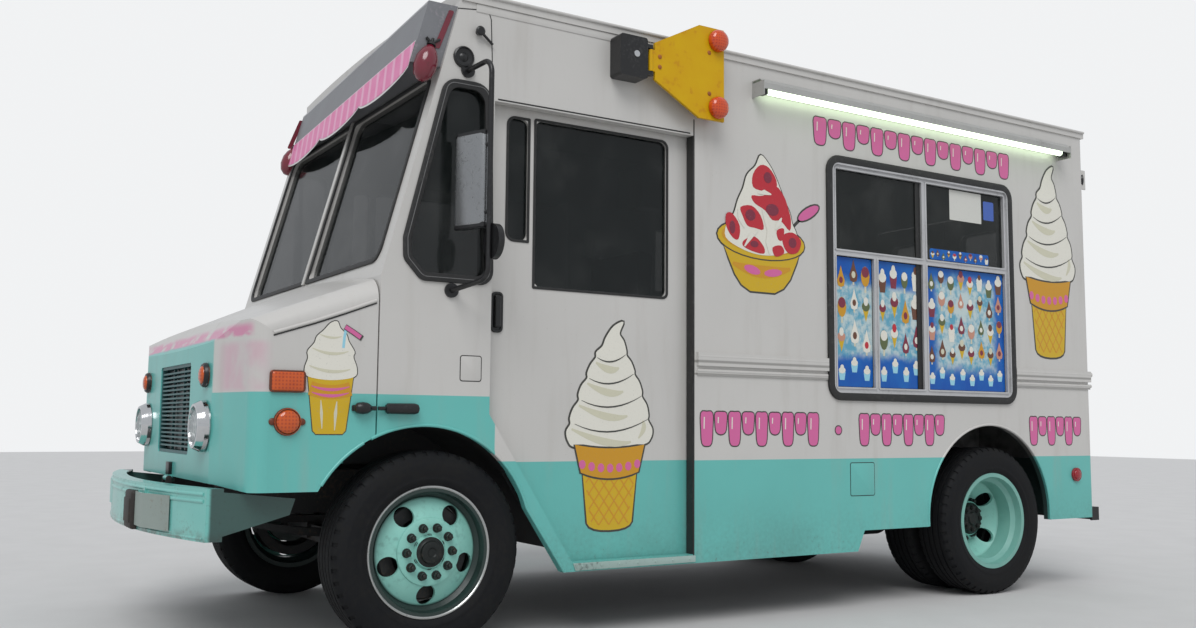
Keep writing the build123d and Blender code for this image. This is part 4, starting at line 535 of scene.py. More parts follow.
def wheel_nut(centre):
    """Hexagon nut on its washer, with the stud's end standing out of it."""
    washer = turned([(0, 0), (0, 0.019), (0.003, 0.019), (0.004, 0.016), (0.004, 0)], centre, steps=16)
    idle()
    bpy.ops.mesh.primitive_cylinder_add(
        vertices=6, radius=0.0155, depth=0.020, location=Vector(centre) + Vector((0.014, 0, 0)),
        rotation=(0, math.pi / 2, 0),
    )
    nut = bpy.context.object
    bpy.ops.object.transform_apply(location=True, rotation=True, scale=True)
    bpy.ops.object.mode_set(mode="EDIT")
    bpy.ops.mesh.select_all(action="SELECT")
    bpy.ops.mesh.bevel(offset=0.0015, segments=1)
    bpy.ops.object.mode_set(mode="OBJECT")
    stud_half = [(0.020, 0), (0.020, 0.008), (0.032, 0.008), (0.034, 0.006), (0.034, 0)]
    stud = turned(stud_half, centre, steps=12)
    return joined([washer, nut, stud])


def flattened(piece, plane_x, share):
    """Squash a piece towards an upright plane."""
    to_plane = Matrix.Translation((-plane_x, 0, 0))
    piece.data.transform(to_plane.inverted() @ Matrix.Diagonal((share, 1, 1, 1)) @ to_plane)
    return piece


def nut_circle(centre, radius, count, lead=0.0):
    """Nuts round a circle, the first a lead angle from the top."""
    first = wheel_nut(Vector(centre) + Vector((0, -math.sin(lead) * radius, math.cos(lead) * radius)))
    nuts = [first]
    for turn in range(1, count):
        spin = Matrix.Rotation(turn * math.tau / count, 4, "X")
        place = Matrix.Translation(centre) @ spin @ Matrix.Translation(-Vector(centre))
        nuts.append(moved_copy(first, place))
    return joined(nuts)


front_face_x = front_wheel_x + 0.0865
front_centre = (front_face_x, front_axle_y, axle_z)
nut_plate = turned(
    [(-0.002, 0.066), (0.003, 0.066), (0.006, 0.072), (0.006, 0.124), (0.002, 0.134), (-0.006, 0.137),
     (-0.006, 0.066)],
    front_centre, steps=64, closed=True,
)
both_sides(nut_plate, "front_nut_plate", "left_front_wheel", "turquoise_paint", wheel_enamel)
nut_count = 10
front_nuts = nut_circle((front_face_x + 0.006, front_axle_y, axle_z), 0.098, nut_count, math.pi / nut_count)
both_sides(front_nuts, "front_nuts", "left_front_wheel", "engine_iron", nut_steel)
hub_cap = turned(
    [(-0.004, 0), (-0.004, 0.066), (0.010, 0.065), (0.014, 0.061), (0.0185, 0.060), (0.0195, 0.052),
     (0.024, 0.046), (0.034, 0.043), (0.037, 0.036), (0.037, 0.020), (0.033, 0.016), (0.033, 0)],
    front_centre,
)
cap_bolts = flattened(nut_circle((front_face_x + 0.019, front_axle_y, axle_z), 0.053, 6), front_face_x, 0.3)
both_sides(joined([hub_cap, cap_bolts]), "front_hub", "left_front_wheel", "engine_iron", hub_iron)
front_rim_centre = (front_wheel_x, front_axle_y, axle_z)
flange_edge = turned(
    [(0.092, 0.2525), (0.0985, 0.2535), (0.1015, 0.2575), (0.1008, 0.2625), (0.0965, 0.2645),
     (0.0925, 0.2625)],
    front_rim_centre, steps=96, closed=True,
)
both_sides(flange_edge, "front_flange_edge", "left_front_wheel", "chrome_trim", bright_edge)
drum = turned(
    [(-0.085, 0.150), (-0.085, 0.196), (0.020, 0.196), (0.026, 0.190), (0.026, 0.135), (0.016, 0.135),
     (0.016, 0.180), (-0.080, 0.180), (-0.080, 0.150)],
    front_rim_centre, steps=64, closed=True,
)
both_sides(drum, "front_drum", "left_front_wheel", "engine_iron", chassis_enamel)

dual_x = (rear_outer_x + rear_inner_x) / 2
rear_nuts = nut_circle((dual_x + 0.0145, rear_axle_y, axle_z), 0.114, nut_count)
both_sides(rear_nuts, "rear_nuts", "left_rear_wheels", "engine_iron", nut_steel)
axle_flange = turned(
    [(0.058, 0), (0.058, 0.090), (0.066, 0.089), (0.074, 0.078), (0.080, 0.074), (0.084, 0.040),
     (0.092, 0.034), (0.094, 0)],
    (dual_x, rear_axle_y, axle_z),
)
flange_x = dual_x + 0.078
flange_bolts = flattened(nut_circle((flange_x, rear_axle_y, axle_z), 0.060, 8), flange_x, 0.45)
both_sides(joined([axle_flange, flange_bolts]), "rear_hub", "left_rear_wheels", "engine_iron", hub_iron)

# Window rubbers: black moulded seals pressed round every pane of the cab, the
# doors and the rear doors. Aged rubber with grey worn specks.


def behind(millimetres):
    """Y of what lies so far behind the front axle."""
    return front_axle_y + millimetres / 1000


def rounded_outline(points, radii, steps=6):
    """Outline with each corner rounded to its radius."""
    outline = []
    count = len(points)
    for i in range(count):
        spot = Vector(points[i])
        radius = radii[i] if isinstance(radii, (list, tuple)) else radii
        if not radius:
            outline.append(spot)
            continue
        back = (Vector(points[i - 1]) - spot).normalized()
        on = (Vector(points[(i + 1) % count]) - spot).normalized()
        half_angle = back.angle(on) / 2
        middle = spot + (back + on).normalized() * (radius / math.sin(half_angle))
        first = spot + back * (radius / math.tan(half_angle)) - middle
        last = spot + on * (radius / math.tan(half_angle)) - middle
        for j in range(steps + 1):
            outline.append(middle + first.slerp(last, j / steps).normalized() * radius)
    return outline


def cut_sheet(points, corner=0.0, steps=6):
    """Flat sheet with rounded corners. Its points run anticlockwise as seen from its outer face."""
    outline = rounded_outline(points, corner, steps)
    return new_piece(outline, [], [list(range(len(outline)))])


def thicken(piece, thick, soft=0.0):
    """Give a sheet its thickness, outwards from its face, and soft edges."""
    take(piece)
    solid = piece.modifiers.new("thick", "SOLIDIFY")
    solid.thickness = thick
    solid.offset = 1
    if soft:
        bevel = piece.modifiers.new("soft", "BEVEL")
        bevel.width = soft
        bevel.segments = 2
        bevel.limit_method = "ANGLE"
        bevel.angle_limit = math.radians(50)
    for name in [modifier.name for modifier in piece.modifiers]:
        bpy.ops.object.modifier_apply(modifier=name)
    bpy.ops.object.shade_smooth_by_angle(angle=math.radians(40))
    return piece


def drawn_in(points, wide):
    """Corners of the same outline moved in by a width."""
    count = len(points)
    corners = [Vector(point) for point in points]
    facing = (corners[1] - corners[0]).cross(corners[2] - corners[1]).normalized()
    inner = []
    for i in range(count):
        before = (corners[i] - corners[i - 1]).normalized()
        after = (corners[(i + 1) % count] - corners[i]).normalized()
        side = facing.cross(before) + facing.cross(after)
        inner.append(corners[i] + side * (wide / (1 + facing.cross(before).dot(facing.cross(after)))))
    return inner


def seal_ring(points, corner, wide, proud, inner_corner=None):
    """Moulded ring between an outline and the same outline drawn in."""
    if inner_corner is None:
        inner_corner = max(corner - wide, 0.002)
    outer = rounded_outline(points, corner)
    inner = rounded_outline(drawn_in(points, wide), inner_corner)
    count = len(outer)
    ring = [[i, (i + 1) % count, count + (i + 1) % count, count + i] for i in range(count)]
    return thicken(new_piece(outer + inner, [], ring), proud, min(wide, proud) * 0.35)


def side_box(x, front, rear, low, high):
    """Corners of an upright rectangle on the left side, distances in mm behind the front axle."""
    return [(x, behind(front), low / 1000), (x, behind(rear), low / 1000), (x, behind(rear), high / 1000),
            (x, behind(front), high / 1000)]


old_rubber = plain_paint("old_rubber", (0.020, 0.020, 0.020), 0.55, (0.075, 0.073, 0.070), worn=0.5)
skin_x = 1.050  # outer face of the body's sides
door_x = 0.990  # outer face of the cab doors
quarter_points = [
    (skin_x - 0.001, behind(y), z / 1000)
    for y, z in ((-165, 1660), (-162, 1572), (-84, 1488), (240, 1488), (220, 2345), (2, 2345))
]
quarter_outer = (0.050, 0.050, 0.050, 0.060, 0.080, 0.075)
quarter_inner = (0.030, 0.030, 0.030, 0.045, 0.060, 0.055)
quarter_rubber = seal_ring(quarter_points, quarter_outer, 0.036, 0.011, quarter_inner)
bead_points = [point + Vector((0.010, 0, 0)) for point in drawn_in(quarter_points, 0.017)]
quarter_bead = seal_ring(bead_points, 0.042, 0.003, 0.0025, 0.040)
both_sides(quarter_rubber, "quarter_rubber", "truck", "mirror_black", old_rubber)
seal_grey = plain_paint("seal_filler", (0.20, 0.20, 0.20), 0.45, (0.05, 0.05, 0.05), worn=0.8)
both_sides(quarter_bead, "quarter_bead", "truck", "window_alloy", seal_grey)
door_rubbers = joined([
    seal_ring(side_box(door_x - 0.001, 323, 440, 1696, 2248), (0.042, 0.006, 0.006, 0.042), 0.012, 0.005,
              (0.032, 0.002, 0.002, 0.032)),
    seal_ring(side_box(door_x - 0.001, 458, 1178, 1499, 2253), (0.008, 0.030, 0.040, 0.012), 0.012, 0.005,
              (0.002, 0.020, 0.030, 0.004)),
])
both_sides(door_rubbers, "door_rubbers", "left_door", "mirror_black", old_rubber)
screen_lean = 0.27
cab_front_y = behind(-251)


def screen_point(x, z, proud=0.0):
    """Point on the windscreen frame's leaning front face."""
    normal = Vector((0, -1, screen_lean)).normalized()
    return Vector((x, cab_front_y + screen_lean * (z - 1.5), z)) + normal * proud


screen_corners = ((0.018, 1.562), (0.975, 1.562), (0.975, 2.380), (0.018, 2.380))
left_screen = [screen_point(x, z, -0.001) for x, z in screen_corners]
outer_corners = (0.020, 0.070, 0.070, 0.020)
inner_corners = (0.016, 0.055, 0.055, 0.016)
screen_rubber = seal_ring(left_screen, outer_corners, 0.022, 0.008, inner_corners)
screen_rubbers = joined([screen_rubber, moved_copy(screen_rubber, across)])
fasten(screen_rubbers, "windscreen_rubbers", "truck", "mirror_black", old_rubber)
post_corners = ((-0.015, 1.560), (0.015, 1.560), (0.015, 2.382), (-0.015, 2.382))
post_points = [screen_point(x, z, 0.004) for x, z in post_corners]
post_bar = thicken(cut_sheet(post_points), 0.009, 0.003)
fasten(post_bar, "windscreen_post_bar", "truck", "body_paint", cab_paint)
rear_face_y = 2.594
rear_pane = ((0.120, 2.218), (0.496, 2.218), (0.496, 1.742), (0.120, 1.742))
rear_rubber = seal_ring([(x, rear_face_y, z) for x, z in rear_pane], 0.055, 0.020, 0.008)
both_sides(rear_rubber, "rear_door_rubber", "left_rear_door", "mirror_black", old_rubber)


def pane_glass(name, colour, alpha):
    """Tinted pane with a thin film of dust."""
    pane = Finish(name)
    dust = pane.step(pane.noise(4, 5), 0.45, 0.8) * 0.06
    tone = pane.tint(dust, colour, (0.4, 0.4, 0.38))
    return pane.surface(tone, 0.04 + dust, alpha=alpha + dust, specular_ior_level=0.45)


clear_pane = pane_glass("cab_glass", (0.006, 0.009, 0.009), 0.66)
dress(clear_pane, "cab_glass", "left_door_glass", "right_door_glass")
serving_pane = pane_glass("service_glass", (0.010, 0.013, 0.012), 0.62)
dress(serving_pane, "service_glass", "left_rear_door_glass", "right_rear_door_glass")

# Serving window: an alloy frame with rolled beads round five panes, in a thick
# black seal, and screen-printed sheets of treats on the panes.
frame_alloy = plain_paint("window_alloy", (0.60, 0.60, 0.61), 0.38, (0.22, 0.22, 0.22), 0.25)
dress(frame_alloy, "service_windows", "door_tracks")
pane_rows = (
    (2187, 2821, 1822, 2243), (2855, 3494, 1822, 2243), (2187, 2455, 1115, 1792), (2485, 2821, 1115, 1792),
    (2855, 3494, 1115, 1792),
)
beads = joined([
    seal_ring(side_box(skin_x - 0.001, row[0] - 8, row[1] + 8, row[2] - 8, row[3] + 8), 0.012, 0.010, 0.006)
    for row in pane_rows
])
both_sides(beads, "window_beads", "truck", "window_alloy", frame_alloy)
window_seal = seal_ring(side_box(skin_x - 0.001, 2120, 3561, 1048, 2310), 0.085, 0.040, 0.016)
both_sides(window_seal, "window_seal", "truck", "mirror_black", old_rubber)
pane_x = 1.0362  # just outside the panes
print_x = 1.0364
slide_edge = thicken(cut_sheet(side_box(pane_x, 2782, 2819, 1117, 2241), 0.002, 2), 0.0060, 0.001)
both_sides(slide_edge, "window_slide_edge", "truck", "mirror_black", old_rubber)


def ink(name, colour, gloss=0.30):
    """Screen ink or cut vinyl: one colour with a little fading and scuffs."""
    coat = Finish(name)
    fade = coat.noise(6, 4)
    scuff = coat.step(coat.noise(130, 3), 0.60, 0.72) * 0.25
    tone = coat.tint(fade * 0.5, colour, [0.90 * c + 0.02 for c in colour])
    tone = coat.tint(scuff, tone, (0.30, 0.29, 0.27))
    return coat.surface(tone, gloss + scuff, normal=coat.bump(fade, 0.0004, 0.3))


def menu_ground(name, low, high, middle_y, half_wide):
    """Printed ground of a sheet: deep blue at its ends and edges, mottled white and cyan between."""
    ground = Finish(name)
    cloud = ground.noise(9, 4, (1, 1, 0.7))
    blotch = ground.noise(26, 3)
    rise = ground.step(ground.z, low, high)
    ends = ground.step(ground.size_of(rise - 0.52) + cloud * 0.16, 0.40, 0.50)
    reach = ground.size_of(ground.y - middle_y) + cloud * 0.10
    edges = ground.step(reach, half_wide - 0.02, half_wide + 0.05)
    deep = ground.tint(cloud, (0.006, 0.045, 0.34), (0.010, 0.17, 0.52))
    mottle = ground.step(cloud * 0.5 + blotch * 0.5, 0.40, 0.60)
    pale = ground.tint(mottle, (0.12, 0.36, 0.50), (0.52, 0.62, 0.62))
    return ground.surface(ground.tint(ground.larger(ends, edges), pale, deep), 0.22, specular_ior_level=0.3)


menu_sheet = menu_ground("menu_sheet_blue", 1.115, 1.792, behind(2500), 0.60)
pale_sheet = menu_ground("menu_sheet_pale", 1.020, 1.900, behind(3174), 0.27)
dress(menu_sheet, "menu_boards")

inks = [ink(name + "_ink", colour) for name, colour in (
    ("line", (0.045, 0.045, 0.038)),
    ("cream", (0.76, 0.74, 0.66)),
    ("shade", (0.62, 0.60, 0.46)),
    ("cone", (0.62, 0.40, 0.006)),
    ("collar", (0.60, 0.29, 0.008)),
    ("lattice", (0.60, 0.27, 0.012)),
    ("pink", (0.66, 0.13, 0.34)),
    ("red", (0.50, 0.015, 0.03)),
    ("brown", (0.13, 0.045, 0.02)),
    ("sky", (0.30, 0.62, 0.75)),
    ("maroon", (0.20, 0.018, 0.045)),
    ("peach", (0.55, 0.26, 0.18)),
    ("moss", (0.10, 0.13, 0.045)),
)]
LINE, CREAM, SHADE, CONE, COLLAR, LATTICE, PINK, RED, BROWN, SKY, MAROON, PEACH, MOSS = range(len(inks))


def oval(middle, half_wide, half_tall, count=14, turn=0.0):
    """Loop of points in millimetres, anticlockwise."""
    loop = []
    for i in range(count):
        angle = math.tau * i / count
        u, v = half_wide * math.cos(angle), half_tall * math.sin(angle)
        loop.append((
            middle[0] + u * math.cos(turn) - v * math.sin(turn),
            middle[1] + u * math.sin(turn) + v * math.cos(turn),
        ))
    return loop


film_gap = 0.0002
film_step = 0.00045
film_thick = 0.0005


def vinyl(name, body, x, layers):
    """Stack of thin shapes on the left side. A layer is (level, ink number, points in mm)."""
    points = []
    faces = []
    numbers = []
    for height, number, loop in layers:
        start = len(points)
        points += [(x + film_step * height, front_axle_y + u / 1000, v / 1000) for u, v in loop]
        faces.append(list(range(start, len(points))))
        numbers.append(number)
    piece = new_piece(points, [], faces)
    for material in inks:
        piece.data.materials.append(material)
    for face, number in zip(piece.data.polygons, numbers):
        face.material_index = number
    thicken(piece, film_thick)
    return fasten(piece, name, body, "menu_print")


def decal(name, body, x, layers):
    """Vinyl stuck on the left side and its mirror image on the right."""
    piece = vinyl("left_" + name, body, x + film_gap, layers)
    other_side(piece, "right_" + name, body.replace("left", "right"), "menu_print")


def treat(kind, u, v, wide, tall, colours, height):
    """Layers of one treat about its middle: a bar on a stick, a cone, a cup or a drop on its stick."""
    first, second = colours

    def at(*spots):
        return [(u + a * wide, v + b * tall) for a, b in spots]

    if kind == "bar":
        return [
            (height, SHADE, at((-0.09, -0.50), (0.09, -0.50), (0.09, 0), (-0.09, 0))),
            (height + 1, first, oval((u, v + 0.10 * tall), 0.42 * wide, 0.38 * tall, 12)),
            (height + 2, second, oval((u, v + 0.26 * tall), 0.36 * wide, 0.20 * tall, 12)),
        ]
    if kind == "cone":
        return [
            (height, CONE, at((0, -0.50), (0.34, 0.04), (-0.34, 0.04))),
            (height + 1, first, oval((u, v + 0.12 * tall), 0.42 * wide, 0.20 * tall, 12)),
            (height + 2, second, oval((u, v + 0.32 * tall), 0.24 * wide, 0.18 * tall, 10)),
        ]
    if kind == "cup":
        return [
            (height, first, at((-0.28, -0.50), (0.28, -0.50), (0.42, 0), (-0.42, 0))),
            (height + 1, CREAM, oval((u, v + 0.10 * tall), 0.42 * wide, 0.20 * tall, 12)),
            (height + 2, second, oval((u, v + 0.30 * tall), 0.22 * wide, 0.16 * tall, 10)),
        ]
    return [
        (height, SHADE, at((-0.08, -0.50), (0.08, -0.50), (0.08, -0.1), (-0.08, -0.1))),
        (height + 1, first, at(
            (0, 0.50), (-0.20, 0.16), (-0.42, -0.12), (-0.32, -0.34), (0, -0.40), (0.32, -0.34),
            (0.42, -0.12), (0.20, 0.16),
        )),
        (height + 2, second, oval((u, v - 0.10 * tall), 0.20 * wide, 0.14 * tall, 10)),
    ]


treat_kinds = ("bar", "cone", "cup", "drop")
treat_colours = (
    (CREAM, RED), (BROWN, CREAM), (MAROON, CREAM), (PEACH, CREAM), (COLLAR, MAROON), (MOSS, CREAM),
    (CREAM, BROWN), (SHADE, PEACH), (PEACH, MAROON), (BROWN, SHADE),
)


def treat_sheet(name, row, columns, lines, ground, seed):
    """Printed sheet on each side: its ground with rows of treats, every second column a little higher."""
    dice = random.Random(seed)
    front, rear, low, high = row[0] + 5, row[1] - 5, row[2] + 5, row[3] - 5
    wide = (rear - front) / columns
    tall = (high - low - 10) / lines
    layers = []
    for line in range(lines):
        for column in range(columns):
            u = front + wide * (column + 0.5) + dice.uniform(-4, 4)
            stagger = 0.16 if column % 2 else -0.10
            v = low + 5 + tall * (line + 0.5 + stagger) + dice.uniform(-0.04, 0.04) * tall
            v = min(max(v, low + 0.45 * tall), high - 0.45 * tall)
            if line == 0 and lines > 1:
                layers += treat("cup", u, v, wide * 0.66, tall * 0.50, (SKY, CREAM), 1)
            else:
                grow = 0.84 * dice.uniform(0.86, 1.04)
                kind = dice.choice(treat_kinds)
                layers += treat(kind, u, v, wide * grow, tall * grow, dice.choice(treat_colours), 1)
    sheet = cut_sheet(side_box(print_x - 0.0003, front, rear, low, high), 0.012)
    thicken(sheet, 0.0006)
    sheet.data.materials.append(ground)
    treats = vinyl(f"left_{name}_treats", "truck", print_x, layers)
    both_sides(sheet, name, "truck", "menu_print")
    other_side(treats, f"right_{name}_treats", "truck", "menu_print")


treat_sheet("front_menu_sheet", pane_rows[2], 3, 4, menu_sheet, 3)
treat_sheet("middle_menu_sheet", pane_rows[3], 4, 4, menu_sheet, 5)
treat_sheet("rear_menu_sheet", pane_rows[4], 8, 5, pale_sheet, 8)
treat_sheet("strip_menu_sheet", (2890, 3380, 1826, 1896), 11, 1, menu_sheet, 12)
notice_paper = ink("notice_paper", (0.62, 0.62, 0.58), 0.6)
notice = thicken(cut_sheet(side_box(pane_x, 3060, 3322, 2066, 2236), 0.004), 0.0006)
fasten(notice, "left_window_notice", "truck", "menu_print", notice_paper)
sticker = thicken(cut_sheet(side_box(pane_x, 3340, 3428, 2092, 2200), 0.008), 0.0006)
sticker_blue = ink("sticker_blue", (0.05, 0.12, 0.45))
fasten(sticker, "left_window_sticker", "truck", "menu_print", sticker_blue)

# Cut vinyl on the sides: cones, a sundae and a cup in plain poster style, and
# rows of pink icing drips. Each shape is a thin film stuck on the one below it.


def strip(points, wide, taper=True):
    """Loop round a line of points, thick in its middle."""
    upper = []
    lower = []
    count = len(points) - 1
    for i, (u, v) in enumerate(points):
        before = points[max(i - 1, 0)]
        after = points[min(i + 1, count)]
        run, rise = after[0] - before[0], after[1] - before[1]
        long = math.hypot(run, rise)
        half = wide / 2 * (0.25 + 0.75 * math.sin(math.pi * i / count) if taper else 1)
        upper.append((u - rise / long * half, v + run / long * half))
        lower.append((u + rise / long * half, v - run / long * half))
    return lower + upper[::-1]


def rounded_loop(points, steps=4):
    """Smooth closed loop through the points."""
    loop = []
    count = len(points)
    for i in range(count):
        p0, p1, p2, p3 = (points[(i + k - 1) % count] for k in range(4))
        for j in range(steps):
            t = j / steps
            loop.append(tuple(
                0.5 * (2 * b + (c - a) * t + (2 * a - 5 * b + 4 * c - d) * t ** 2
                       + (3 * b - a - 3 * c + d) * t ** 3)
                for a, b, c, d in zip(p0, p1, p2, p3)
            ))
    return loop


def swollen(loop, by):
    """Loop moved outwards by a distance."""
    out = []
    count = len(loop)
    for i, (u, v) in enumerate(loop):
        before, after = loop[i - 1], loop[(i + 1) % count]
        run, rise = after[0] - before[0], after[1] - before[1]
        long = math.hypot(run, rise) or 1
        out.append((u + rise / long * by, v - run / long * by))
    return out


def sweep_curve(start, middle, end, count=10):
    """Points of a bend from start to end that passes near the middle."""
    return [
        tuple((1 - t) ** 2 * a + 2 * t * (1 - t) * b + t * t * c for a, b, c in zip(start, middle, end))
        for t in (i / (count - 1) for i in range(count))
    ]


def placed(layers, middle, low, size, drawn_size):
    """Scale a drawing and put its bottom middle at a place."""
    u_scale, v_scale = size[0] / drawn_size[0], size[1] / drawn_size[1]
    return [
        (level, number, [(middle + u * u_scale, low + v * v_scale) for u, v in loop])
        for level, number, loop in layers
    ]


cone_size = (452, 925)
swirl = rounded_loop([
    (176, 372), (216, 398), (226, 440), (202, 482), (204, 505), (194, 550), (168, 588), (168, 612),
    (152, 655), (128, 686), (126, 706), (108, 745), (84, 772), (82, 795), (68, 838), (46, 872), (66, 925),
    (14, 902), (-26, 850), (-44, 810), (-76, 782), (-78, 758), (-104, 726), (-122, 688), (-122, 664),
    (-150, 632), (-166, 592), (-164, 566), (-192, 530), (-208, 488), (-206, 462), (-226, 428), (-214, 384),
    (-176, 360), (0, 340),
])
collar = sweep_curve((182, 372), (0, 338), (-182, 372)) + sweep_curve((-150, 250), (0, 196), (150, 250))
cone_foot = sweep_curve((-116, 30), (-104, -4), (0, -4), 5)
cone_foot += sweep_curve((0, -4), (104, -4), (116, 30), 5)[1:]
cone_wall = [(-142, 262)] + cone_foot + [(142, 262)]


def lattice(low_half, high_half, low, high, pitch, wide, height):
    """Crossed lines clipped to a tapering cup, the second set a little over the first."""
    lines = []
    for slope in (1, -1):
        level = height if slope > 0 else height + 0.5
        start = -high_half * 3
        while start < high_half * 3:
            run = []
            for i in range(41):
                v = low + (high - low) * i / 40
                u = start + slope * (v - low) * 0.75
                if abs(u) < low_half + (high_half - low_half) * (v - low) / (high - low) - 8:
                    run.append((u, v))
            if len(run) > 6:
                ends = [run[0], run[len(run) // 2], run[-1]]
                lines.append((level, LATTICE, strip(ends, wide, False)))
            start += pitch
    return lines


cone_layers = [
    (0, LINE, swollen(swirl, 9)),
    (0, LINE, swollen(cone_wall, 9)),
    (1, CONE, cone_wall),
    (3, CREAM, swirl),
    (3.2, LINE, swollen(collar, 8)),
    (4.2, COLLAR, collar),
]
cone_layers += lattice(low_half=104, high_half=140, low=20, high=240, pitch=52, wide=6, height=2)
for left_v, middle_v, right_v, half_wide in (
    (462, 384, 486, 200), (566, 500, 590, 164), (664, 610, 690, 122), (758, 716, 776, 78)
):
    shadow = sweep_curve((-half_wide, left_v - 22), (0, middle_v - 30), (half_wide * 0.55, middle_v))
    fold = sweep_curve((-half_wide * 0.92, left_v), (0, middle_v), (half_wide, right_v))
    cone_layers.append((4, SHADE, strip(shadow, 34)))
    cone_layers.append((5, LINE, strip(fold, 7)))
cone_layers.append((4, SHADE, strip(sweep_curve((150, 400), (196, 450), (172, 480)), 24)))
drop_count = 7
drop_row_half = 168
for i in range(drop_count):
    u = -drop_row_half + drop_row_half * 2 * (i + 0.5) / drop_count
    sag = 24 * (1 - (u / drop_row_half) ** 2)
    cone_layers.append((5.2, PINK, oval((u, 292 - sag), 17, 20, 10)))
decal("door_cone", "left_door", door_x, placed(cone_layers, 865, 456, (455, 925), cone_size))
decal("rear_cone", "truck", skin_x, placed(cone_layers, 3884, 1334, (500, 1140), cone_size))

bowl_rim = oval((0, 245), 275, 92, 28, -0.03)
bowl_body = [
    (-262, 250), (-205, 140), (-168, 68), (-128, 20), (-74, -8), (80, -8), (136, 18), (180, 66), (222, 150),
    (262, 240),
]
mound = rounded_loop([
    (225, 235), (222, 300), (196, 345), (180, 400), (150, 450), (120, 510), (88, 570), (50, 625), (-5, 668),
    (-40, 610), (-92, 560), (-118, 490), (-150, 430), (-176, 360), (-214, 320), (-226, 240), (-120, 190),
    (0, 172), (130, 188),
])
sauce_patches = (
    [(-9, 617), (-56, 567), (-56, 503), (9, 490), (84, 495), (93, 553), (46, 610)],
    [(-65, 460), (-47, 424), (19, 395), (65, 352), (121, 352), (177, 309), (186, 366), (167, 424),
     (140, 481), (84, 524), (9, 467)],
    [(-135, 395), (-121, 352), (-93, 309), (-47, 302), (9, 300), (-9, 366), (-65, 409)],
    [(-223, 352), (-223, 294), (-186, 244), (-149, 237), (-140, 302), (-186, 359)],
    [(-112, 237), (-121, 208), (-65, 187), (9, 180), (9, 215), (-47, 259)],
    [(130, 280), (140, 223), (177, 194), (232, 208), (251, 266), (195, 302)],
    [(65, 215), (84, 172), (140, 194), (121, 230)],
    [(93, 302), (102, 259), (130, 259), (140, 316)],
)
sauce_depths = (
    (65, 402, 42, 30), (-74, 362, 32, 28), (-186, 292, 18, 32), (195, 250, 26, 26), (37, 560, 26, 28),
    (-50, 222, 26, 16),
)
cream_streaks = (
    ((-28, 476), (14, 484), (58, 478)), ((0, 400), (26, 345), (40, 280)),
    ((-152, 384), (-138, 340), (-112, 296)), ((-112, 206), (-70, 262), (-26, 292)),
    ((36, 296), (34, 240), (46, 182)), ((124, 368), (106, 338), (82, 306)),
)
sundae_layers = [
    (0, LINE, swollen(mound, 7)),
    (0, LINE, swollen(bowl_body, 9)),
    (0, LINE, swollen(bowl_rim, 8)),
    (1, CONE, bowl_body),
    (2.2, LINE, swollen(bowl_rim, 6)),
    (3.4, CONE, bowl_rim),
    (4.6, COLLAR, oval((0, 250), 250, 72, 28, -0.03)),
    (5.8, CREAM, mound),
    (0, LINE, strip([(205, 335), (236, 362), (262, 384)], 16, False)),
    (0, LINE, oval((306, 412), 88, 34, 16, 0.52)),
    (1.2, PINK, oval((306, 412), 78, 25, 16, 0.52)),
    (2.2, COLLAR, strip(sweep_curve((-182, 120), (0, 62), (182, 118)), 62)),
    (3.4, PINK, oval((-62, 96), 52, 21, 12, -0.2)),
    (3.4, PINK, oval((70, 90), 58, 19, 12, 0.12)),
]
for i, patch in enumerate(sauce_patches):
    sundae_layers.append((7.0 + 0.12 * i, RED, rounded_loop(patch, 3)))
for u, v, wide, tall in sauce_depths:
    sundae_layers.append((9.2, MAROON, oval((u, v), wide, tall, 12)))
for i, streak in enumerate(cream_streaks):
    sundae_layers.append((10.4 + 0.12 * i, CREAM, strip(streak, 26)))
decal("sundae", "truck", skin_x, placed(sundae_layers, 1697, 1573, (549, 670), (550, 668)))

cup_wall = [(-95, 228), (-67, 12), (-55, 0), (55, 0), (67, 12), (95, 228)]
foam = rounded_loop([
    (96, 222), (108, 255), (92, 300), (96, 322), (70, 362), (60, 388), (34, 412), (20, 438), (-8, 430),
    (-34, 402), (-62, 376), (-72, 350), (-98, 318), (-96, 290), (-108, 250), (-94, 220), (0, 208),
])
cup_layers = [
    (0, LINE, swollen(foam, 4)),
    (0, LINE, swollen(cup_wall, 4)),
    (1, CONE, cup_wall),
    (2, CREAM, foam),
    (2, COLLAR, strip(sweep_curve((-84, 176), (0, 148), (84, 176)), 54, False)),
    (3, PINK, strip(sweep_curve((-78, 184), (0, 158), (78, 184)), 12)),
    (3, PINK, strip(sweep_curve((-76, 160), (0, 134), (76, 160)), 12)),
    (2, SHADE, strip([(-30, 20), (-34, 80), (-38, 130)], 12)),
    (2, SHADE, strip([(22, 14), (24, 80), (28, 126)], 14)),
    (3, SHADE, strip(sweep_curve((-90, 262), (0, 226), (80, 252)), 13)),
    (3, SHADE, strip(sweep_curve((-80, 330), (0, 296), (70, 322)), 12)),
    (3, SHADE, strip(sweep_curve((-50, 384), (0, 364), (40, 380)), 9)),
    (3, SKY, strip([(48, 335), (52, 380), (57, 412)], 11, False)),
    (3, LINE, swollen(strip([(54, 418), (90, 398), (126, 376)], 17, False), 3)),
    (4, PINK, strip([(54, 418), (90, 398), (120, 379)], 17, False)),
]
decal("nose_cup", "nose", skin_x, placed(cup_layers, -442, 872, (195, 436), (205, 442)))


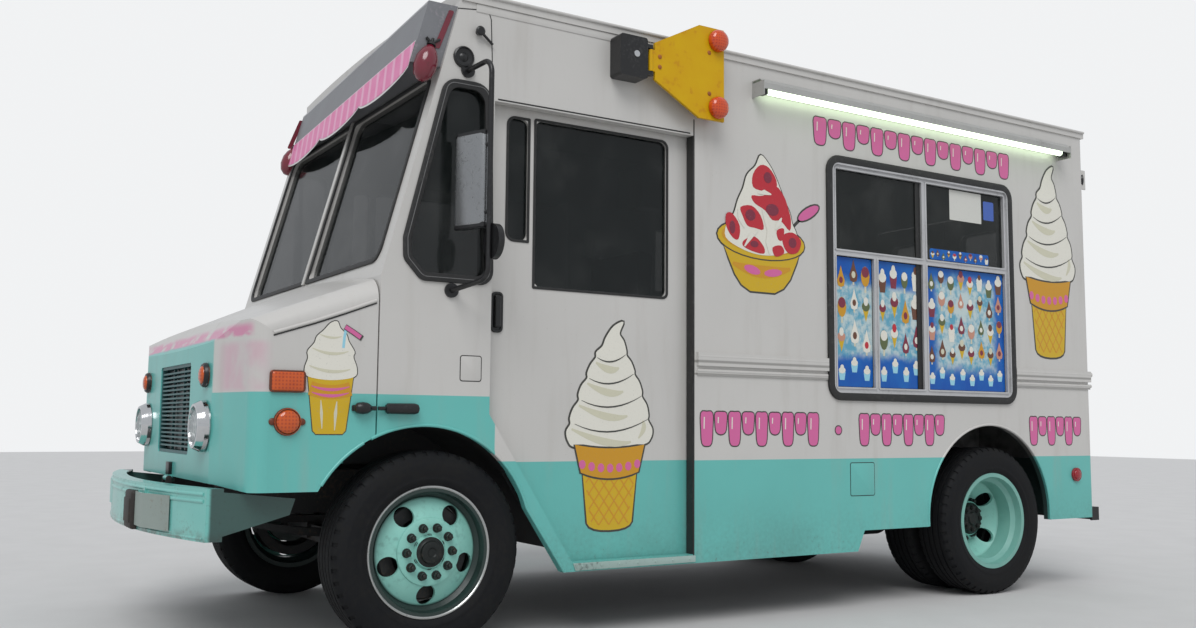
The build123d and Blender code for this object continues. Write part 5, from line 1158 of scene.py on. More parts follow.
def icing_row(name, front, rear, low, high, count):
    """Pink drips side by side, long and short in turn, edged in black."""
    pitch = (rear - front) / count
    half_wide = pitch * 0.40
    layers = []
    for i in range(count):
        u = front + pitch * (i + 0.5)
        foot = low if i % 2 == 0 else low + (high - low) * 0.34
        waist = (high + foot) / 2
        drip = rounded_loop([
            (u - half_wide, high - 6), (u - half_wide, waist), (u - half_wide * 0.8, foot + 12), (u, foot),
            (u + half_wide * 0.8, foot + 12), (u + half_wide, waist), (u + half_wide, high - 6), (u, high),
        ], 3)
        shine = [(u - half_wide * 0.45, high - 24), (u - half_wide * 0.5, waist)]
        layers += [(0, LINE, swollen(drip, 6)), (1, PINK, drip), (2, CREAM, strip(shine, 6, False))]
    decal(name, "truck", skin_x, layers)


icing_row("upper_icing", 2035, 3560, 2350, 2492, 15)
icing_row("front_icing", 1318, 2062, 822, 980, 9)
icing_row("middle_icing", 2330, 2970, 822, 980, 8)
icing_row("rear_icing", 3672, 4150, 822, 980, 6)
dot_spot = (2190, 898)
decal("icing_dot", "truck", skin_x, [(0, LINE, oval(dot_spot, 26, 26)), (1, PINK, oval(dot_spot, 20, 20))])

# Door fittings: a black pull handle at the front edge, a worn kick strip over the
# sill and the rolled lips of the wheel arches.


def round_bar(points, radius, closed=False):
    """Round bar along points in metres."""
    curve = bpy.data.curves.new("bar", "CURVE")
    curve.dimensions = "3D"
    curve.bevel_depth = radius
    curve.bevel_resolution = 3
    curve.use_fill_caps = True
    spline = curve.splines.new("POLY")
    spline.points.add(len(points) - 1)
    for spot, point in zip(spline.points, points):
        spot.co = (*point, 1)
    spline.use_cyclic_u = closed
    piece = bpy.data.objects.new("bar", curve)
    bpy.context.scene.collection.objects.link(piece)
    take(piece)
    bpy.ops.object.convert(target="MESH")
    piece = bpy.context.object
    bpy.ops.object.shade_smooth_by_angle(angle=math.radians(50))
    return piece


def side_bar(x, points, radius):
    """Round bar on the left side. Its points are (mm behind the front axle, height in metres)."""
    return round_bar([(x, behind(y), z) for y, z in points], radius)


def plain_block(low, high):
    """Block between two corners in metres."""
    idle()
    bpy.ops.mesh.primitive_cube_add(size=1, location=(Vector(low) + Vector(high)) / 2)
    piece = bpy.context.object
    piece.scale = Vector(high) - Vector(low)
    bpy.ops.object.transform_apply(location=True, rotation=True, scale=True)
    return piece


def soft_block(low, high, soft, steps=3):
    """Block between two corners in metres with rounded edges."""
    piece = plain_block(low, high)
    bpy.ops.object.mode_set(mode="EDIT")
    bpy.ops.mesh.select_all(action="SELECT")
    bpy.ops.mesh.bevel(offset=soft, segments=steps)
    bpy.ops.object.mode_set(mode="OBJECT")
    bpy.ops.object.shade_smooth_by_angle(angle=math.radians(40))
    return piece


black_enamel = plain_paint("black_enamel", (0.013, 0.013, 0.014), 0.32, (0.08, 0.08, 0.08), worn=0.3)
handle_cup = seal_ring(side_box(door_x - 0.001, 262, 318, 1300, 1474), 0.020, 0.012, 0.010)
handle_back = thicken(cut_sheet(side_box(door_x - 0.0005, 266, 314, 1304, 1470), 0.018), 0.003)
handle_grip = soft_block((door_x + 0.004, behind(274), 1.322), (door_x + 0.024, behind(302), 1.458), 0.007)
door_handle = joined([handle_cup, handle_back, handle_grip])
both_sides(door_handle, "door_handle", "left_door", "mirror_black", black_enamel)
kick_alloy = plain_paint("kick_strip", (0.42, 0.56, 0.52), 0.42, (0.10, 0.12, 0.11), 0.3, worn=0.6)
kick_points = [(655, 294), (1292, 296), (1292, 326), (642, 326)]
kick_sheet = cut_sheet([(skin_x, behind(y), z / 1000) for y, z in kick_points], 0.004, 3)
kick_strip = thicken(kick_sheet, 0.006, 0.002)
screw_half = [(0.006, 0), (0.006, 0.006), (0.0085, 0.0045), (0.0095, 0)]
screw_row = [turned(screw_half, (skin_x, behind(690 + 95 * i), 0.311), steps=10) for i in range(7)]
kick_strip = joined([kick_strip] + screw_row)
both_sides(kick_strip, "kick_strip", "truck", "window_alloy", kick_alloy)


def arc_points(x, middle_y, middle_z, radius, first, last, count):
    """Points of an arc on the side, angles in degrees up from the rear."""
    return [
        (x, behind(middle_y + radius * math.cos(a)), (middle_z + radius * math.sin(a)) / 1000)
        for a in (math.radians(first + (last - first) * i / (count - 1)) for i in range(count))
    ]


lip_x = skin_x - 0.002
cab_lip = round_bar(arc_points(lip_x, -50, 417, 491, 17.6, 117, 28), 0.007)
cab_lip_tail = side_bar(lip_x, [(418, 0.565), (599, 0.298)], 0.007)
nose_lip = round_bar(arc_points(lip_x, -50, 417, 491, 121, 148, 12), 0.007)
rear_lip = round_bar(arc_points(lip_x, 3338, 430, 504, -4, 184, 44), 0.007)
cab_lips = joined([cab_lip, cab_lip_tail])
both_sides(cab_lips, "cab_arch_lip", "truck", "turquoise_paint", cab_paint)
both_sides(nose_lip, "nose_arch_lip", "nose", "turquoise_paint", nose_paint)
both_sides(rear_lip, "rear_arch_lip", "truck", "turquoise_paint", side_paint)

# Waist mouldings: two half-round rails along each side in white paint, broken by
# the serving window.
waist_rails = joined([
    side_bar(skin_x - 0.001, [(front, rail_z), (rear, rail_z)], radius)
    for rail_z, radius in ((1.238, 0.0175), (1.170, 0.0105))
    for front, rear in ((1304, 2118), (3563, 4254))
])
both_sides(waist_rails, "waist_rails", "truck", "body_paint", door_paint)

# Small hatches in the skin, each a pressed plate in a thin dark joint: an access
# flap on both sides of the cowl and a fuel flap low on the left side.


def hatch(name, front, rear, low, high, paint):
    """Pressed plate on the left side and the thin dark joint round it."""
    plate = cut_sheet(side_box(skin_x, front + 4, rear - 4, low + 4, high - 4), 0.010)
    flap = fasten(thicken(plate, 0.0016, 0.0006), f"left_{name}", "truck", "body_paint", paint)
    joint = seal_ring(side_box(skin_x - 0.0002, front, rear, low, high), 0.012, 0.0040, 0.0006)
    return flap, fasten(joint, f"left_{name}_joint", "truck", "mirror_black", old_rubber)


cowl_flap, cowl_joint = hatch("cowl_flap", 97, 196, 1087, 1195, cab_paint)
other_side(cowl_flap, "right_cowl_flap", "truck", "body_paint")
other_side(cowl_joint, "right_cowl_flap_joint", "truck", "mirror_black")
hatch("fuel_flap", 2267, 2439, 566, 736, side_paint)

# Nose hold-down on each side: a black rubber strap with a ball end, hooked over a
# bracket on the cowl.
strap_z = 0.972
strap_x = skin_x + 0.020
rod_x = skin_x + 0.018
latch_foot = soft_block(
    (skin_x - 0.001, behind(-356), strap_z - 0.012), (skin_x + 0.010, behind(-281), strap_z + 0.012), 0.004
)
latch_ball = turned(
    [(-0.034, 0), (-0.033, 0.010), (-0.022, 0.021), (0, 0.024), (0.020, 0.021), (0.034, 0.012),
     (0.036, 0)],
    (strap_x, behind(-318), strap_z), (0, 1, 0), 28, smooth=60,
)
latch_pull = side_bar(rod_x, [(-286, strap_z), (-262, strap_z)], 0.009)
strap_end = turned(
    [(-0.070, 0), (-0.069, 0.014), (-0.062, 0.021), (0.050, 0.022), (0.064, 0.018), (0.070, 0.008),
     (0.070, 0)],
    (strap_x, behind(-155), strap_z), (0, 1, 0), 28,
)
strap_rod = side_bar(rod_x, [(-254, strap_z), (-220, strap_z)], 0.008)
nose_latch = joined([latch_foot, latch_ball, latch_pull])
both_sides(nose_latch, "nose_latch", "nose", "mirror_black", black_enamel)
cowl_latch = joined([strap_end, strap_rod])
both_sides(cowl_latch, "cowl_latch", "truck", "mirror_black", black_enamel)

# Hood edge: a rolled bead along the sides of the nose, with the dark joint where
# the hood's skin meets the side under it.
hood_line = [(-666, 1.245), (-511, 1.297), (-390, 1.342), (-266, 1.391)]
hood_bead = side_bar(skin_x - 0.001, [(y, z + 0.004) for y, z in hood_line], 0.0075)
hood_joint = side_bar(skin_x + 0.0005, [(y, z - 0.006) for y, z in hood_line], 0.003)
both_sides(hood_bead, "hood_bead", "nose", "body_paint", nose_paint)
both_sides(hood_joint, "hood_joint", "nose", "mirror_black", old_rubber)

# Lamps on the nose: moulded amber lenses with ribs in thin bezels. The front pair
# sits in black rings.


def lens(name, colour, deep):
    """Moulded plastic lens: ribbed inside, its tone clouded."""
    body = Finish(name)
    ribs = body.wave(body.z, 75) * body.wave(body.y, 75)
    cloud = body.noise(30, 2)
    return body.surface(
        body.tint(ribs * 0.6 + cloud * 0.4, colour, deep), 0.14, normal=body.bump(ribs, 0.0008, 0.5),
        coat_weight=0.5, coat_roughness=0.05,
    )


amber_lens = lens("amber_lens", (0.66, 0.105, 0.006), (0.30, 0.022, 0.003))
red_lens = lens("red_lens", (0.34, 0.008, 0.016), (0.15, 0.003, 0.006))
dress(amber_lens, "nose_lamps")
dress(red_lens, "tail_lamps")
dome = [(0.0, 1.0), (0.12, 0.98), (0.24, 0.88), (0.34, 0.64), (0.39, 0.32), (0.40, 0)]


def dome_lamp(centre, axis, radius, steps=32):
    """Domed lens on a short rim."""
    return turned([(-0.004, radius)] + [(a * radius, r * radius) for a, r in dome], centre, axis, steps)


box_lens = soft_block((skin_x - 0.004, behind(-670), 1.032), (skin_x + 0.019, behind(-548), 1.104), 0.008)
round_y, round_z = -604, 0.917
round_lens = dome_lamp((skin_x + 0.011, behind(round_y), round_z), (1, 0, 0), 0.044)
side_lenses = joined([box_lens, round_lens])
both_sides(side_lenses, "nose_side_lenses", "nose", "amber_lens", amber_lens)
box_bezel = seal_ring(side_box(skin_x - 0.001, -677, -540, 1026, 1110), 0.016, 0.014, 0.014)
round_bezel = turned(
    [(-0.001, 0.044), (0.012, 0.043), (0.015, 0.046), (0.010, 0.050), (-0.001, 0.053)],
    (skin_x, behind(round_y), round_z), steps=40, closed=True,
)
ear_half = [(0, 0.014), (0.005, 0.013), (0.009, 0.006), (0.009, 0)]
ears = [turned(ear_half, (skin_x, behind(round_y + reach), round_z), steps=16) for reach in (-56, 56)]
side_bezels = joined([box_bezel, round_bezel] + ears)
lamp_rim = plain_paint("lamp_rim", (0.16, 0.035, 0.012), 0.35, (0.05, 0.03, 0.02), worn=0.5)
both_sides(side_bezels, "nose_side_bezels", "nose", "amber_lens", lamp_rim)
front_lamp_spot = (0.599, behind(-817), 1.100)
front_dome = dome_lamp(front_lamp_spot, (0, -1, 0), 0.036)
both_sides(front_dome, "nose_front_lens", "nose", "amber_lens", amber_lens)
front_ring = turned(
    [(-0.014, 0.040), (-0.014, 0.050), (-0.004, 0.049), (0.003, 0.044), (0.003, 0.038)],
    front_lamp_spot, (0, -1, 0), 32, closed=True,
)
both_sides(front_ring, "nose_front_ring", "nose", "mirror_black", black_enamel)

# Headlamps: chrome bezels and bowls, each with a fluted glass lens and a small
# chrome shield in front of its bulb.
chrome = plain_paint("chrome", (0.78, 0.79, 0.80), 0.10, (0.3, 0.3, 0.3), 1.0, worn=0.15)
dress(chrome, "headlamps")
lamp_glass = Finish("headlamp_glass")
flutes = lamp_glass.wave(lamp_glass.x, 70) * 0.7 + lamp_glass.wave(lamp_glass.z, 35) * 0.3
headlamp_glass = lamp_glass.surface(
    lamp_glass.tint(flutes, (0.62, 0.66, 0.66), (0.36, 0.40, 0.41)), 0.06,
    normal=lamp_glass.bump(flutes, 0.002, 0.6), alpha=0.55, specular_ior_level=0.8,
)
head_spot = (0.589, behind(-803), 0.897)
head_lens = turned(
    [(0.022, 0.0735), (0.028, 0.0735), (0.036, 0.064), (0.044, 0.045), (0.048, 0.022), (0.049, 0)],
    head_spot, (0, -1, 0), 48,
)
shield = turned([(0.030, 0), (0.031, 0.016), (0.038, 0.013), (0.040, 0)], head_spot, (0, -1, 0), 24)
both_sides(head_lens, "headlamp_lens", "nose", "window_glass", headlamp_glass)
both_sides(shield, "bulb_shield", "nose", "chrome_trim", chrome)

# Grille and bumper: dark teal slats in the nose, and a scraped turquoise bumper with two pressed ribs, a
# rolled lower edge, a rubber guard and a blank plate. Its side plates are darkened as painted shade and
# dirt.
dress(plain_paint("grille_enamel", (0.040, 0.135, 0.140), 0.42, (0.05, 0.07, 0.07)), "grille")
core_y = behind(-766)
core_corners = ((-0.312, 0.772), (0.312, 0.772), (0.312, 1.164), (-0.312, 1.164))
core = cut_sheet([(x, core_y, z) for x, z in core_corners])
fasten(thicken(core, 0.003), "grille_core", "nose", "mirror_black", black_enamel)
leaf_cap = soft_block(
    (-0.0335, nose_front_y - 0.0160, 0.682), (0.0335, nose_front_y - 0.0005, 0.737), 0.003
)
fasten(leaf_cap, "nose_hinge_cap", "nose", "mirror_black", black_enamel)
bumper = Finish("bumper_enamel")
bumper_cloud = bumper.noise(6, 4)
bumper_scrape = bumper.step(bumper.noise(60, 4) * 0.6 + bumper.noise(9, 3) * 0.4, 0.54, 0.66) * 0.35
bumper_foot = bumper.step(bumper.z, 0.520, 0.478) * bumper.step(bumper.noise(20, 4), 0.35, 0.6)
# Painted shade and dirt: the bumper's side plates behind its face go dark green.
bumper_wing_dirt_and_shade = bumper.step(bumper.y, nose_front_y - 0.052, nose_front_y - 0.038)
bumper_tone = bumper.tint(bumper_cloud, (0.22, 0.56, 0.50), (0.13, 0.46, 0.42))
bumper_tone = bumper.tint(bumper_scrape + bumper_foot * 0.6, bumper_tone, (0.10, 0.10, 0.08))
bumper_tone = bumper.tint(bumper_wing_dirt_and_shade * 0.88, bumper_tone, (0.020, 0.034, 0.030))
bumper_coat = bumper.surface(
    bumper_tone, 0.28 + bumper_scrape * 0.5, normal=bumper.bump(bumper_cloud, 0.004, 0.5), coat_weight=0.3
)
dress(bumper_coat, "front_bumper")
bumper_front_y = behind(-1003)
bumper_sag = 0.141
bumper_half = 0.950
bumper_curve = (bumper_half ** 2 + bumper_sag ** 2) / (2 * bumper_sag)


def bumper_y(x):
    """Y of the bumper's face at a distance from the middle."""
    return bumper_front_y + bumper_curve - math.sqrt(bumper_curve ** 2 - x ** 2)


rib_half = 0.93
rib_xs = [-rib_half + 2 * rib_half * i / 40 for i in range(41)]
ribs = [
    round_bar([(x, bumper_y(x) + 0.003, rib_z) for x in rib_xs], radius)
    for rib_z, radius in ((0.648, 0.008), (0.622, 0.008), (0.486, 0.006))
]
fasten(joined(ribs), "bumper_ribs", "truck", "turquoise_paint", bumper_coat)
bumper_guard = soft_block(
    (0.168, bumper_front_y - 0.012, 0.476), (0.322, bumper_front_y + 0.030, 0.632), 0.012
)
guard_pad = soft_block((0.182, bumper_front_y - 0.018, 0.500), (0.308, bumper_front_y, 0.604), 0.008)
guard_rubber = plain_paint("guard_rubber", (0.024, 0.018, 0.015), 0.6, (0.09, 0.06, 0.045), worn=0.7)
fasten(joined([bumper_guard, guard_pad]), "bumper_guard", "truck", "mirror_black", guard_rubber)
plate_reach = ((0.330, 0.0030), (0.455, 0.0030), (0.475, 0.0060), (0.680, 0.0660))
plate_points = [(x, bumper_front_y + back, z) for z in (0.497, 0.632) for x, back in plate_reach]
plate_faces = [[i, i + 1, i + 5, i + 4] for i in range(3)]
blank_plate = thicken(new_piece(plate_points, [], plate_faces), 0.0015)
bare_plate = plain_paint("bare_plate", (0.30, 0.36, 0.33), 0.5, (0.20, 0.14, 0.09), worn=0.5)
fasten(blank_plate, "blank_plate", "truck", "body_paint", bare_plate)

# Mirrors: black tube frames with chrome-backed heads, a flat glass and a small
# convex glass facing the rear.
dress(black_enamel, "mirrors", "sign_bracket")
mirror_x = 1.260
loop_y = behind(115)
head_middle = Vector((mirror_x - 0.097, loop_y - 0.033, 0))
head_place = Matrix.Translation(head_middle) @ Matrix.Rotation(math.radians(22), 4, "Z")
head_case = soft_block((-0.0835, -0.0225, 1.699), (0.0835, 0.0225, 2.096), 0.0215, 5)
head_case.data.transform(head_place)
mirror_shell = plain_paint("mirror_shell", (0.36, 0.37, 0.38), 0.24, (0.15, 0.15, 0.15), 0.75, worn=0.4)
both_sides(head_case, "mirror_case", "truck", "chrome_trim", mirror_shell)
silver = plain_paint("mirror_silver", (0.70, 0.72, 0.74), 0.03, (0.4, 0.4, 0.4), 1.0, worn=0.08)
flat_glass = soft_block((-0.074, 0.0215, 1.712), (0.074, 0.0245, 2.083), 0.0012, 1)
flat_glass.data.transform(head_place)
convex_glass = turned(
    [(0.0125, 0.066), (0.018, 0.060), (0.024, 0.040), (0.027, 0.018), (0.0275, 0)],
    (mirror_x, loop_y + 0.022, 1.640), (0, 1, 0), 40,
)
glasses = joined([flat_glass, convex_glass])
both_sides(glasses, "mirror_glasses", "truck", "chrome_trim", silver)

# Visor over the windscreen: a grey board with a pink scalloped valance edged in
# white, red ball ornaments and a bright top rail.
dress(plain_paint("visor_enamel", (0.22, 0.225, 0.24), 0.45, (0.34, 0.30, 0.33), worn=0.5), "screen_visor")
visor_half = 1.032
visor_top = 2.664
lean_up = Vector((0, screen_lean, 1)).normalized()


def visor_point(x, z, proud=0.0):
    """Point on the visor's skewed front face, x from the middle, plus to the left."""
    share = (x + visor_half) / (2 * visor_half)
    out = 0.006 + 0.112 * share + 0.014
    normal = Vector((0, -1, screen_lean)).normalized()
    return Vector((x, cab_front_y + screen_lean * (z - 1.5) - out, z)) + normal * proud


def valance(low_reach, high_z, proud, thick, scallops, material, name):
    """Band hung on the visor's face whose lower edge runs in scallops."""
    points = []
    count = scallops * 16
    for i in range(count + 1):
        x = -visor_half + 0.012 + (2 * visor_half - 0.024) * i / count
        drop = low_reach * (0.74 + 0.26 * abs(math.sin(math.pi * scallops * i / count)) ** 0.6)
        points.append(visor_point(x, high_z, proud))
        points.append(visor_point(x, high_z - drop, proud))
    faces = [[2 * i, 2 * i + 1, 2 * i + 3, 2 * i + 2] for i in range(count)]
    piece = new_piece(points, [], faces)
    thicken(piece, thick)
    return fasten(piece, name, "truck", "visor_grey", material)


pink_cloth = Finish("pink_print")
pink_cloud = pink_cloth.noise(14, 5)
pink_ray = pink_cloth.wave(pink_cloth.x + pink_cloth.z * 0.6, 9)
pink_tone = pink_cloth.tint(pink_cloud, (0.70, 0.095, 0.32), (0.76, 0.26, 0.47))
pink_tone = pink_cloth.tint(pink_cloth.step(pink_ray, 0.62, 1.0) * 0.5, pink_tone, (0.84, 0.60, 0.72))
pink_print = pink_cloth.surface(pink_tone, 0.38, normal=pink_cloth.bump(pink_cloud, 0.001, 0.4))
white_edge = ink("valance_white", (0.72, 0.71, 0.70))
valance(0.164, 2.486, 0.0012, 0.0016, 3, white_edge, "visor_valance_edge")
valance(0.146, 2.480, 0.0030, 0.0014, 3, pink_print, "visor_valance")
rail_half = visor_half - 0.01
rail_xs = [-rail_half + 2 * rail_half * i / 8 for i in range(9)]
visor_rail = round_bar([visor_point(x, visor_top - 0.006, -0.004) for x in rail_xs], 0.007)
fasten(visor_rail, "visor_top_rail", "truck", "window_alloy", frame_alloy)
ball_red = plain_paint(
    "ornament_red", (0.20, 0.012, 0.030), 0.16, (0.05, 0.01, 0.01), worn=0.3, coat_weight=0.6
)
ball_half = [
    (-0.086, 0), (-0.082, 0.018), (-0.062, 0.038), (-0.026, 0.049), (0.016, 0.047), (0.050, 0.034),
    (0.074, 0.016), (0.082, 0),
]
cuff_half = [(-0.010, 0), (-0.004, 0.020), (0.006, 0.016), (0.012, 0)]
balls = []
stalks = []
for x, y in ((1.040, behind(-78)), (-1.040, behind(-20))):
    spot = Vector((x, y, 2.396))
    balls.append(turned(ball_half, spot, lean_up, 28, smooth=60))
    for bend in (-0.030, 0.0, 0.030):
        foot = spot + lean_up * 0.076
        knee = spot + lean_up * 0.096 + Vector((0, bend * 0.4, 0))
        tip = spot + lean_up * 0.110 + Vector((0, bend, 0))
        stalks.append(round_bar([foot, knee, tip], 0.006))
    stalks.append(turned(cuff_half, spot + lean_up * 0.082, lean_up, 16))
fasten(joined(balls), "visor_ornaments", "truck", "red_lens", ball_red)
fasten(joined(stalks), "visor_ornament_stalks", "truck", "mirror_black", black_enamel)
end_corners = ((-44, 2466), (-18, 2466), (46, 2640), (22, 2640))
end_sheet = cut_sheet([(skin_x - 0.016, behind(y), z / 1000) for y, z in end_corners], 0.006, 3)
both_sides(thicken(end_sheet, 0.0012), "visor_end_strip", "truck", "visor_grey", ball_red)

# Swing sign: a blank yellow plate with a raised hinge leaf and two amber lamps
# that show on both faces. Its bracket box is black with a bright lock.
sign_coat = Finish("sign_enamel")
sign_cloud = sign_coat.noise(9, 4)
sign_bolt = sign_coat.noise(28, 3)
sign_rust = sign_coat.step(sign_bolt * 0.6 + sign_cloud * 0.4, 0.56, 0.66) * 0.5
sign_tone = sign_coat.tint(sign_cloud, (0.66, 0.42, 0.002), (0.60, 0.31, 0.002))
sign_tone = sign_coat.tint(sign_rust, sign_tone, (0.50, 0.20, 0.01))
sign_relief = sign_coat.bump(sign_cloud, 0.002, 0.4)
sign_enamel = sign_coat.surface(sign_tone, 0.40, normal=sign_relief, specular_ior_level=0.25)
dress(sign_enamel, "swing_sign")
sign_x = 1.124
sign_hinge = behind(984)
sign_lamps_z = (2.407, 2.731)
both_faces = (1, -1)
cap_half = [(0.010, 0.053), (0.026, 0.052), (0.038, 0.046), (0.046, 0.032), (0.049, 0.014), (0.049, 0)]
sign_lenses = [
    turned(cap_half, (sign_x, sign_hinge + 0.377, lamp_z), (face, 0, 0), 32)
    for lamp_z in sign_lamps_z for face in both_faces
]
sign_lens = lens("sign_lens", (0.72, 0.085, 0.006), (0.38, 0.018, 0.004))
fasten(joined(sign_lenses), "sign_lamp_lenses", "swing_sign", "amber_lens", sign_lens)
bolt_half = [(0.006, 0.011), (0.0095, 0.010), (0.012, 0.006), (0.0125, 0)]
sign_bolts = [
    turned(bolt_half, (sign_x, sign_hinge + bolt_y, bolt_z), (face, 0, 0), 12)
    for bolt_y, bolt_z in ((0.046, 2.548), (0.046, 2.596), (0.330, 2.470), (0.330, 2.668))
    for face in both_faces
]
bolt_rust = plain_paint("sign_bolt", (0.42, 0.13, 0.02), 0.5, (0.15, 0.05, 0.02), worn=0.7)
fasten(joined(sign_bolts), "sign_bolts", "swing_sign", "sign_yellow", bolt_rust)
lock_spot = (1.138, sign_hinge - 0.085, 2.585)
lock = turned([(0.0, 0.016), (0.004, 0.015), (0.006, 0.010), (0.006, 0)], lock_spot, steps=20)
fasten(lock, "sign_lock", "truck", "chrome_trim", chrome)

# Lamp hoods over the serving windows: painted alloy covers with a lit tube lamp
# in two black end sockets.
dress(plain_paint("hood_alloy", (0.50, 0.50, 0.48), 0.42, (0.2, 0.2, 0.18), 0.3), "lamp_hoods")
glow = Finish("tube_glow")
tube_glow = glow.surface(
    (0.85, 0.92, 0.80), 0.3, emission_color=(0.80, 1.0, 0.72, 1), emission_strength=2.6
)
tube_y = (behind(1672), behind(3978))
tube_spot = (skin_x + 0.048, tube_y[0], 2.554)
tube_long = tube_y[1] - tube_y[0]
hood_tube = turned([(0, 0), (0, 0.0185), (tube_long, 0.0185), (tube_long, 0)], tube_spot, (0, 1, 0), 20)
both_sides(hood_tube, "hood_tube", "truck", "hood_alloy", tube_glow)
sockets = joined([
    soft_block((skin_x + 0.026, y - 0.020, 2.530), (skin_x + 0.070, y + 0.020, 2.586), 0.005)
    for y in (tube_y[0] - 0.006, tube_y[1] + 0.006)
])
both_sides(sockets, "hood_sockets", "truck", "mirror_black", black_enamel)

# Upper corner of the cab and the roof's edge: a round horn speaker, a mirror stay knob, the skin's dark
# joints, black strips as painted shadow along the door header and the door opening's rear edge, the folded
# cap and the roof rail.
speaker = turned(
    [(-0.002, 0), (-0.002, 0.047), (0.010, 0.046), (0.014, 0.040), (0.008, 0.036), (0.004, 0.020),
     (0.010, 0.012), (0.012, 0)],
    (skin_x, behind(85), 2.443), steps=36,
)
knob = turned(
    [(-0.002, 0), (-0.002, 0.012), (0.016, 0.012), (0.018, 0.019), (0.028, 0.021), (0.034, 0.014),
     (0.035, 0)],
    (skin_x, behind(150), 2.563), steps=28,
)
stay = round_bar([(skin_x + 0.016, behind(158), 2.562), (skin_x + 0.012, behind(214), 2.518)], 0.006)
corner_fittings = joined([speaker, knob, stay])
both_sides(corner_fittings, "corner_fittings", "truck", "mirror_black", black_enamel)
seam_line = [(56, 2.650), (177, 2.666), (202, 2.655), (211, 2.630), (218, 2.480), (224, 2.300)]
panel_joint = side_bar(skin_x - 0.0005, seam_line, 0.0024)
# Painted shadow: a black bar along the door opening's header, where the recessed door lies in shade.
header_shadow_bar = side_bar(skin_x - 0.001, [(250, 2.290), (1262, 2.290)], 0.0035)
# Painted shade: a black strip over the wall's edge face at the rear of the door opening, where the gap shows
# dark.
rear_gap_shade_strip = soft_block(
    (door_x + 0.008, behind(1280), 0.296), (skin_x + 0.0005, behind(1290), 2.362), 0.002, 1
)
joints_and_shadow_strips = joined([panel_joint, header_shadow_bar, rear_gap_shade_strip])
both_sides(joints_and_shadow_strips, "cab_joints_and_shadow_strips", "truck", "mirror_black", old_rubber)
cap_edge = thicken(cut_sheet(side_box(skin_x, 140, 1289, 2652, 2686), 0.003, 2), 0.003, 0.001)
both_sides(cap_edge, "roof_cap_edge", "truck", "body_paint", cab_paint)
roof_rail = side_bar(skin_x + 0.010, [(150, 2.724), (4250, 2.724)], 0.008)
both_sides(roof_rail, "roof_rail", "truck", "body_paint", side_paint)

# Tail: dome lenses in chrome rings, red markers on the sides, a black buzzer on
# a white bracket at the upper corner, and the doors' bolt rod and handle.
tail_lamp_x, tail_lamp_y = 0.900, 2.620
marker_y, marker_z = 2.423, 0.647
ring_half = [(-0.026, 0.060), (0.000, 0.062), (0.004, 0.058), (0.001, 0.051)]
marker_half = [(-0.012, 0.040), (0.0, 0.040), (0.003, 0.036), (0.0, 0.031)]
tail_domes = []
tail_rings = []
for side in (1, -1):
    for lamp_z in (0.700, 0.860):
        spot = (side * tail_lamp_x, tail_lamp_y, lamp_z)
        tail_domes.append(dome_lamp(spot, (0, 1, 0), 0.050))
        tail_rings.append(turned(ring_half, spot, (0, 1, 0), 36, closed=True))
    marker = (side * (skin_x + 0.013), marker_y, marker_z)
    tail_domes.append(dome_lamp(marker, (side, 0, 0), 0.030))
    tail_domes.append(turned(marker_half, marker, (side, 0, 0), 32, closed=True))
fasten(joined(tail_domes), "tail_lamp_domes", "truck", "red_lens", red_lens)
fasten(joined(tail_rings), "tail_lamp_rings", "truck", "chrome_trim", chrome)
buzzer = turned(
    [(-0.030, 0), (-0.030, 0.030), (-0.010, 0.040), (0.018, 0.042), (0.022, 0.036), (0.014, 0.030),
     (0.012, 0)],
    (1.000, 2.612, 2.440), (0.6, 0.8, 0), 28,
)
fasten(buzzer, "rear_buzzer", "truck", "mirror_black", black_enamel)
buzzer_bracket = joined([
    soft_block((inner_x, rear_face_y - sunk, 2.380), (1.030, rear_face_y + proud, 2.500), 0.002, 1)
    for inner_x, sunk, proud in ((0.950, 0.002, 0.004), (1.022, 0.0, 0.046))
])
fasten(buzzer_bracket, "rear_buzzer_bracket", "truck", "body_paint", side_paint)
bolt_x = -0.030
bolt_rod = round_bar([(bolt_x, rear_face_y + 0.013, z) for z in (0.84, 2.28)], 0.009)
rod_guides = [
    soft_block((-0.052, rear_face_y - 0.002, z - 0.02), (-0.008, rear_face_y + 0.024, z + 0.02), 0.004)
    for z in (0.88, 1.30, 1.80, 2.24)
]
rear_pull = soft_block((-0.120, 2.604, 1.385), (-0.020, 2.626, 1.415), 0.008)
rear_fittings = joined([bolt_rod] + rod_guides + [rear_pull])
fasten(rear_fittings, "rear_door_bolt", "right_rear_door", "chrome_trim", frame_alloy)

# Inside: brushed steel galley and soft-serve machine, grained dash and engine
# cover, tread plate floor and the driver's padded seat in black vinyl.


def brushed_steel(name, colour):
    """Steel brushed along the truck, with dull smears."""
    steel = Finish(name)
    brush = steel.noise(40, 3, (1, 0.05, 8))
    smear = steel.step(steel.noise(5, 4), 0.5, 0.75) * 0.25
    return steel.surface(
        steel.tint(smear, colour, [c * 0.6 for c in colour]), 0.26 + brush * 0.18 + smear, 0.9,
        steel.bump(brush, 0.0004, 0.3),
    )


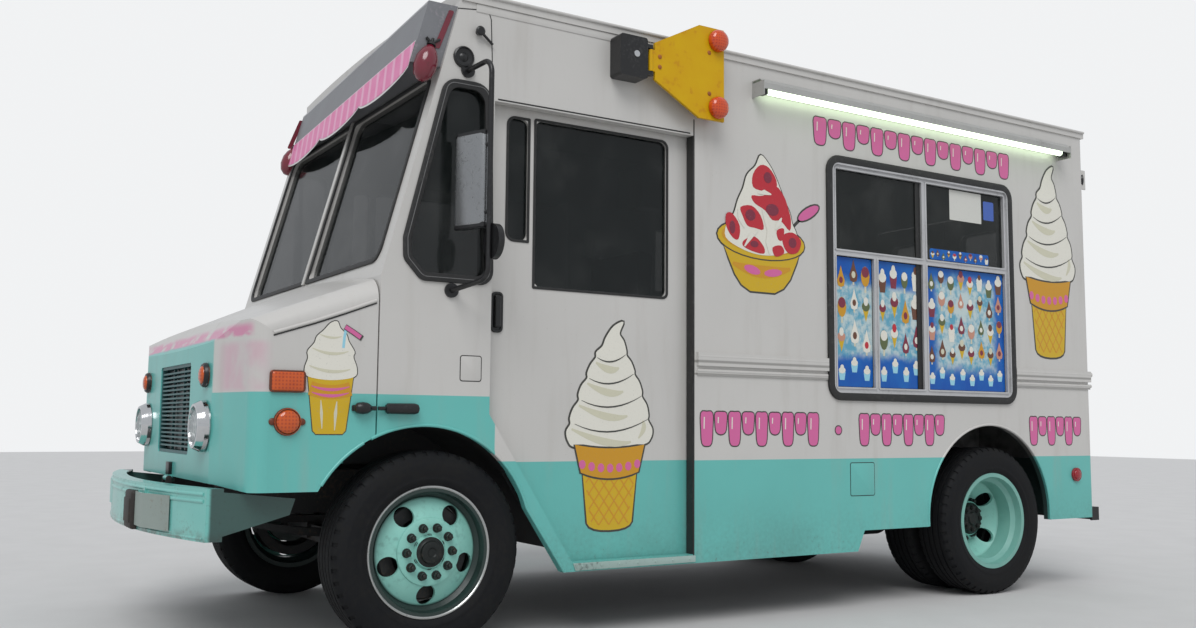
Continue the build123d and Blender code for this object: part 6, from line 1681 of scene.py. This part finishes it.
galley_steel = brushed_steel("galley_steel", (0.55, 0.57, 0.56))
dress(galley_steel, "galley", "soft_serve_machine")
deck = Finish("deck_plate")
deck_tread = deck.wave(deck.x + deck.y, 22) * deck.wave(deck.x - deck.y, 22)
deck_dirt = deck.step(deck.noise(9, 5), 0.4, 0.7) * 0.6
deck_tone = deck.tint(deck_dirt, (0.24, 0.24, 0.24), (0.05, 0.045, 0.04))
deck_relief = deck.bump(deck.step(deck_tread, 0.6, 0.8), 0.002, 0.8)
dress(deck.surface(deck_tone, 0.45 + deck_dirt * 0.3, 0.7, deck_relief), "floor")
dress(plain_paint("dash_grain", (0.075, 0.075, 0.08), 0.6), "dash", "engine_cover", "steering_wheel")

seat_cover = Finish("seat_vinyl")
grain = seat_cover.node("TexVoronoi", {}, {"Vector": seat_cover.place, "Scale": 260.0})
crease = seat_cover.noise(22, 4)
seat_vinyl = seat_cover.surface(
    seat_cover.tint(crease, (0.030, 0.030, 0.033), (0.052, 0.050, 0.050)), 0.42 + crease * 0.15,
    normal=seat_cover.bump(grain * 0.3 + crease * 0.7, 0.002, 0.6),
)


def cushion(low, high):
    """Padded block with pulled-in sides, crowned faces and stitched channels."""
    pad = plain_block(low, high)
    bpy.ops.object.mode_set(mode="EDIT")
    bpy.ops.mesh.select_all(action="SELECT")
    bpy.ops.mesh.subdivide(number_cuts=7)
    bpy.ops.object.mode_set(mode="OBJECT")
    middle = (Vector(low) + Vector(high)) / 2
    half = (Vector(high) - Vector(low)) / 2
    flat = min(range(3), key=lambda axis: half[axis])
    wide_axes = [axis for axis in range(3) if axis != flat]
    for vertex in pad.data.vertices:
        rel = [(vertex.co[axis] - middle[axis]) / half[axis] for axis in range(3)]
        first, second = (rel[axis] for axis in wide_axes)
        bulge = max(0.0, (1 - first ** 2) * (1 - second ** 2))
        swell = 0.86 + 0.14 * bulge ** 0.5 + 0.06 * math.cos(first * math.pi * 3) * bulge
        vertex.co[flat] = middle[flat] + rel[flat] * half[flat] * swell
        for axis, other in (wide_axes, wide_axes[::-1]):
            if abs(rel[axis]) > 0.99:
                pull = 1 - 0.035 * (1 - rel[other] ** 2)
                vertex.co[axis] = middle[axis] + rel[axis] * half[axis] * pull
    soft = pad.modifiers.new("soft", "SUBSURF")
    soft.levels = 2
    soft.render_levels = 2
    bpy.ops.object.modifier_apply(modifier="soft")
    bpy.ops.object.shade_smooth()
    return pad


seat_pad = cushion((0.334, -0.955, 1.094), (0.786, -0.486, 1.200))
fasten(seat_pad, "seat_cushion", "truck", "seat_vinyl", seat_vinyl)
back_pad = cushion((0.334, -0.540, 1.215), (0.786, -0.440, 1.760))
to_pivot = Matrix.Translation((0, 0.48, -1.21))
back_pad.data.transform(to_pivot.inverted() @ Matrix.Rotation(math.radians(-3), 4, "X") @ to_pivot)
fasten(back_pad, "seat_back", "truck", "seat_vinyl", seat_vinyl)
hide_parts("driver_seat")
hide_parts("driver_seat")
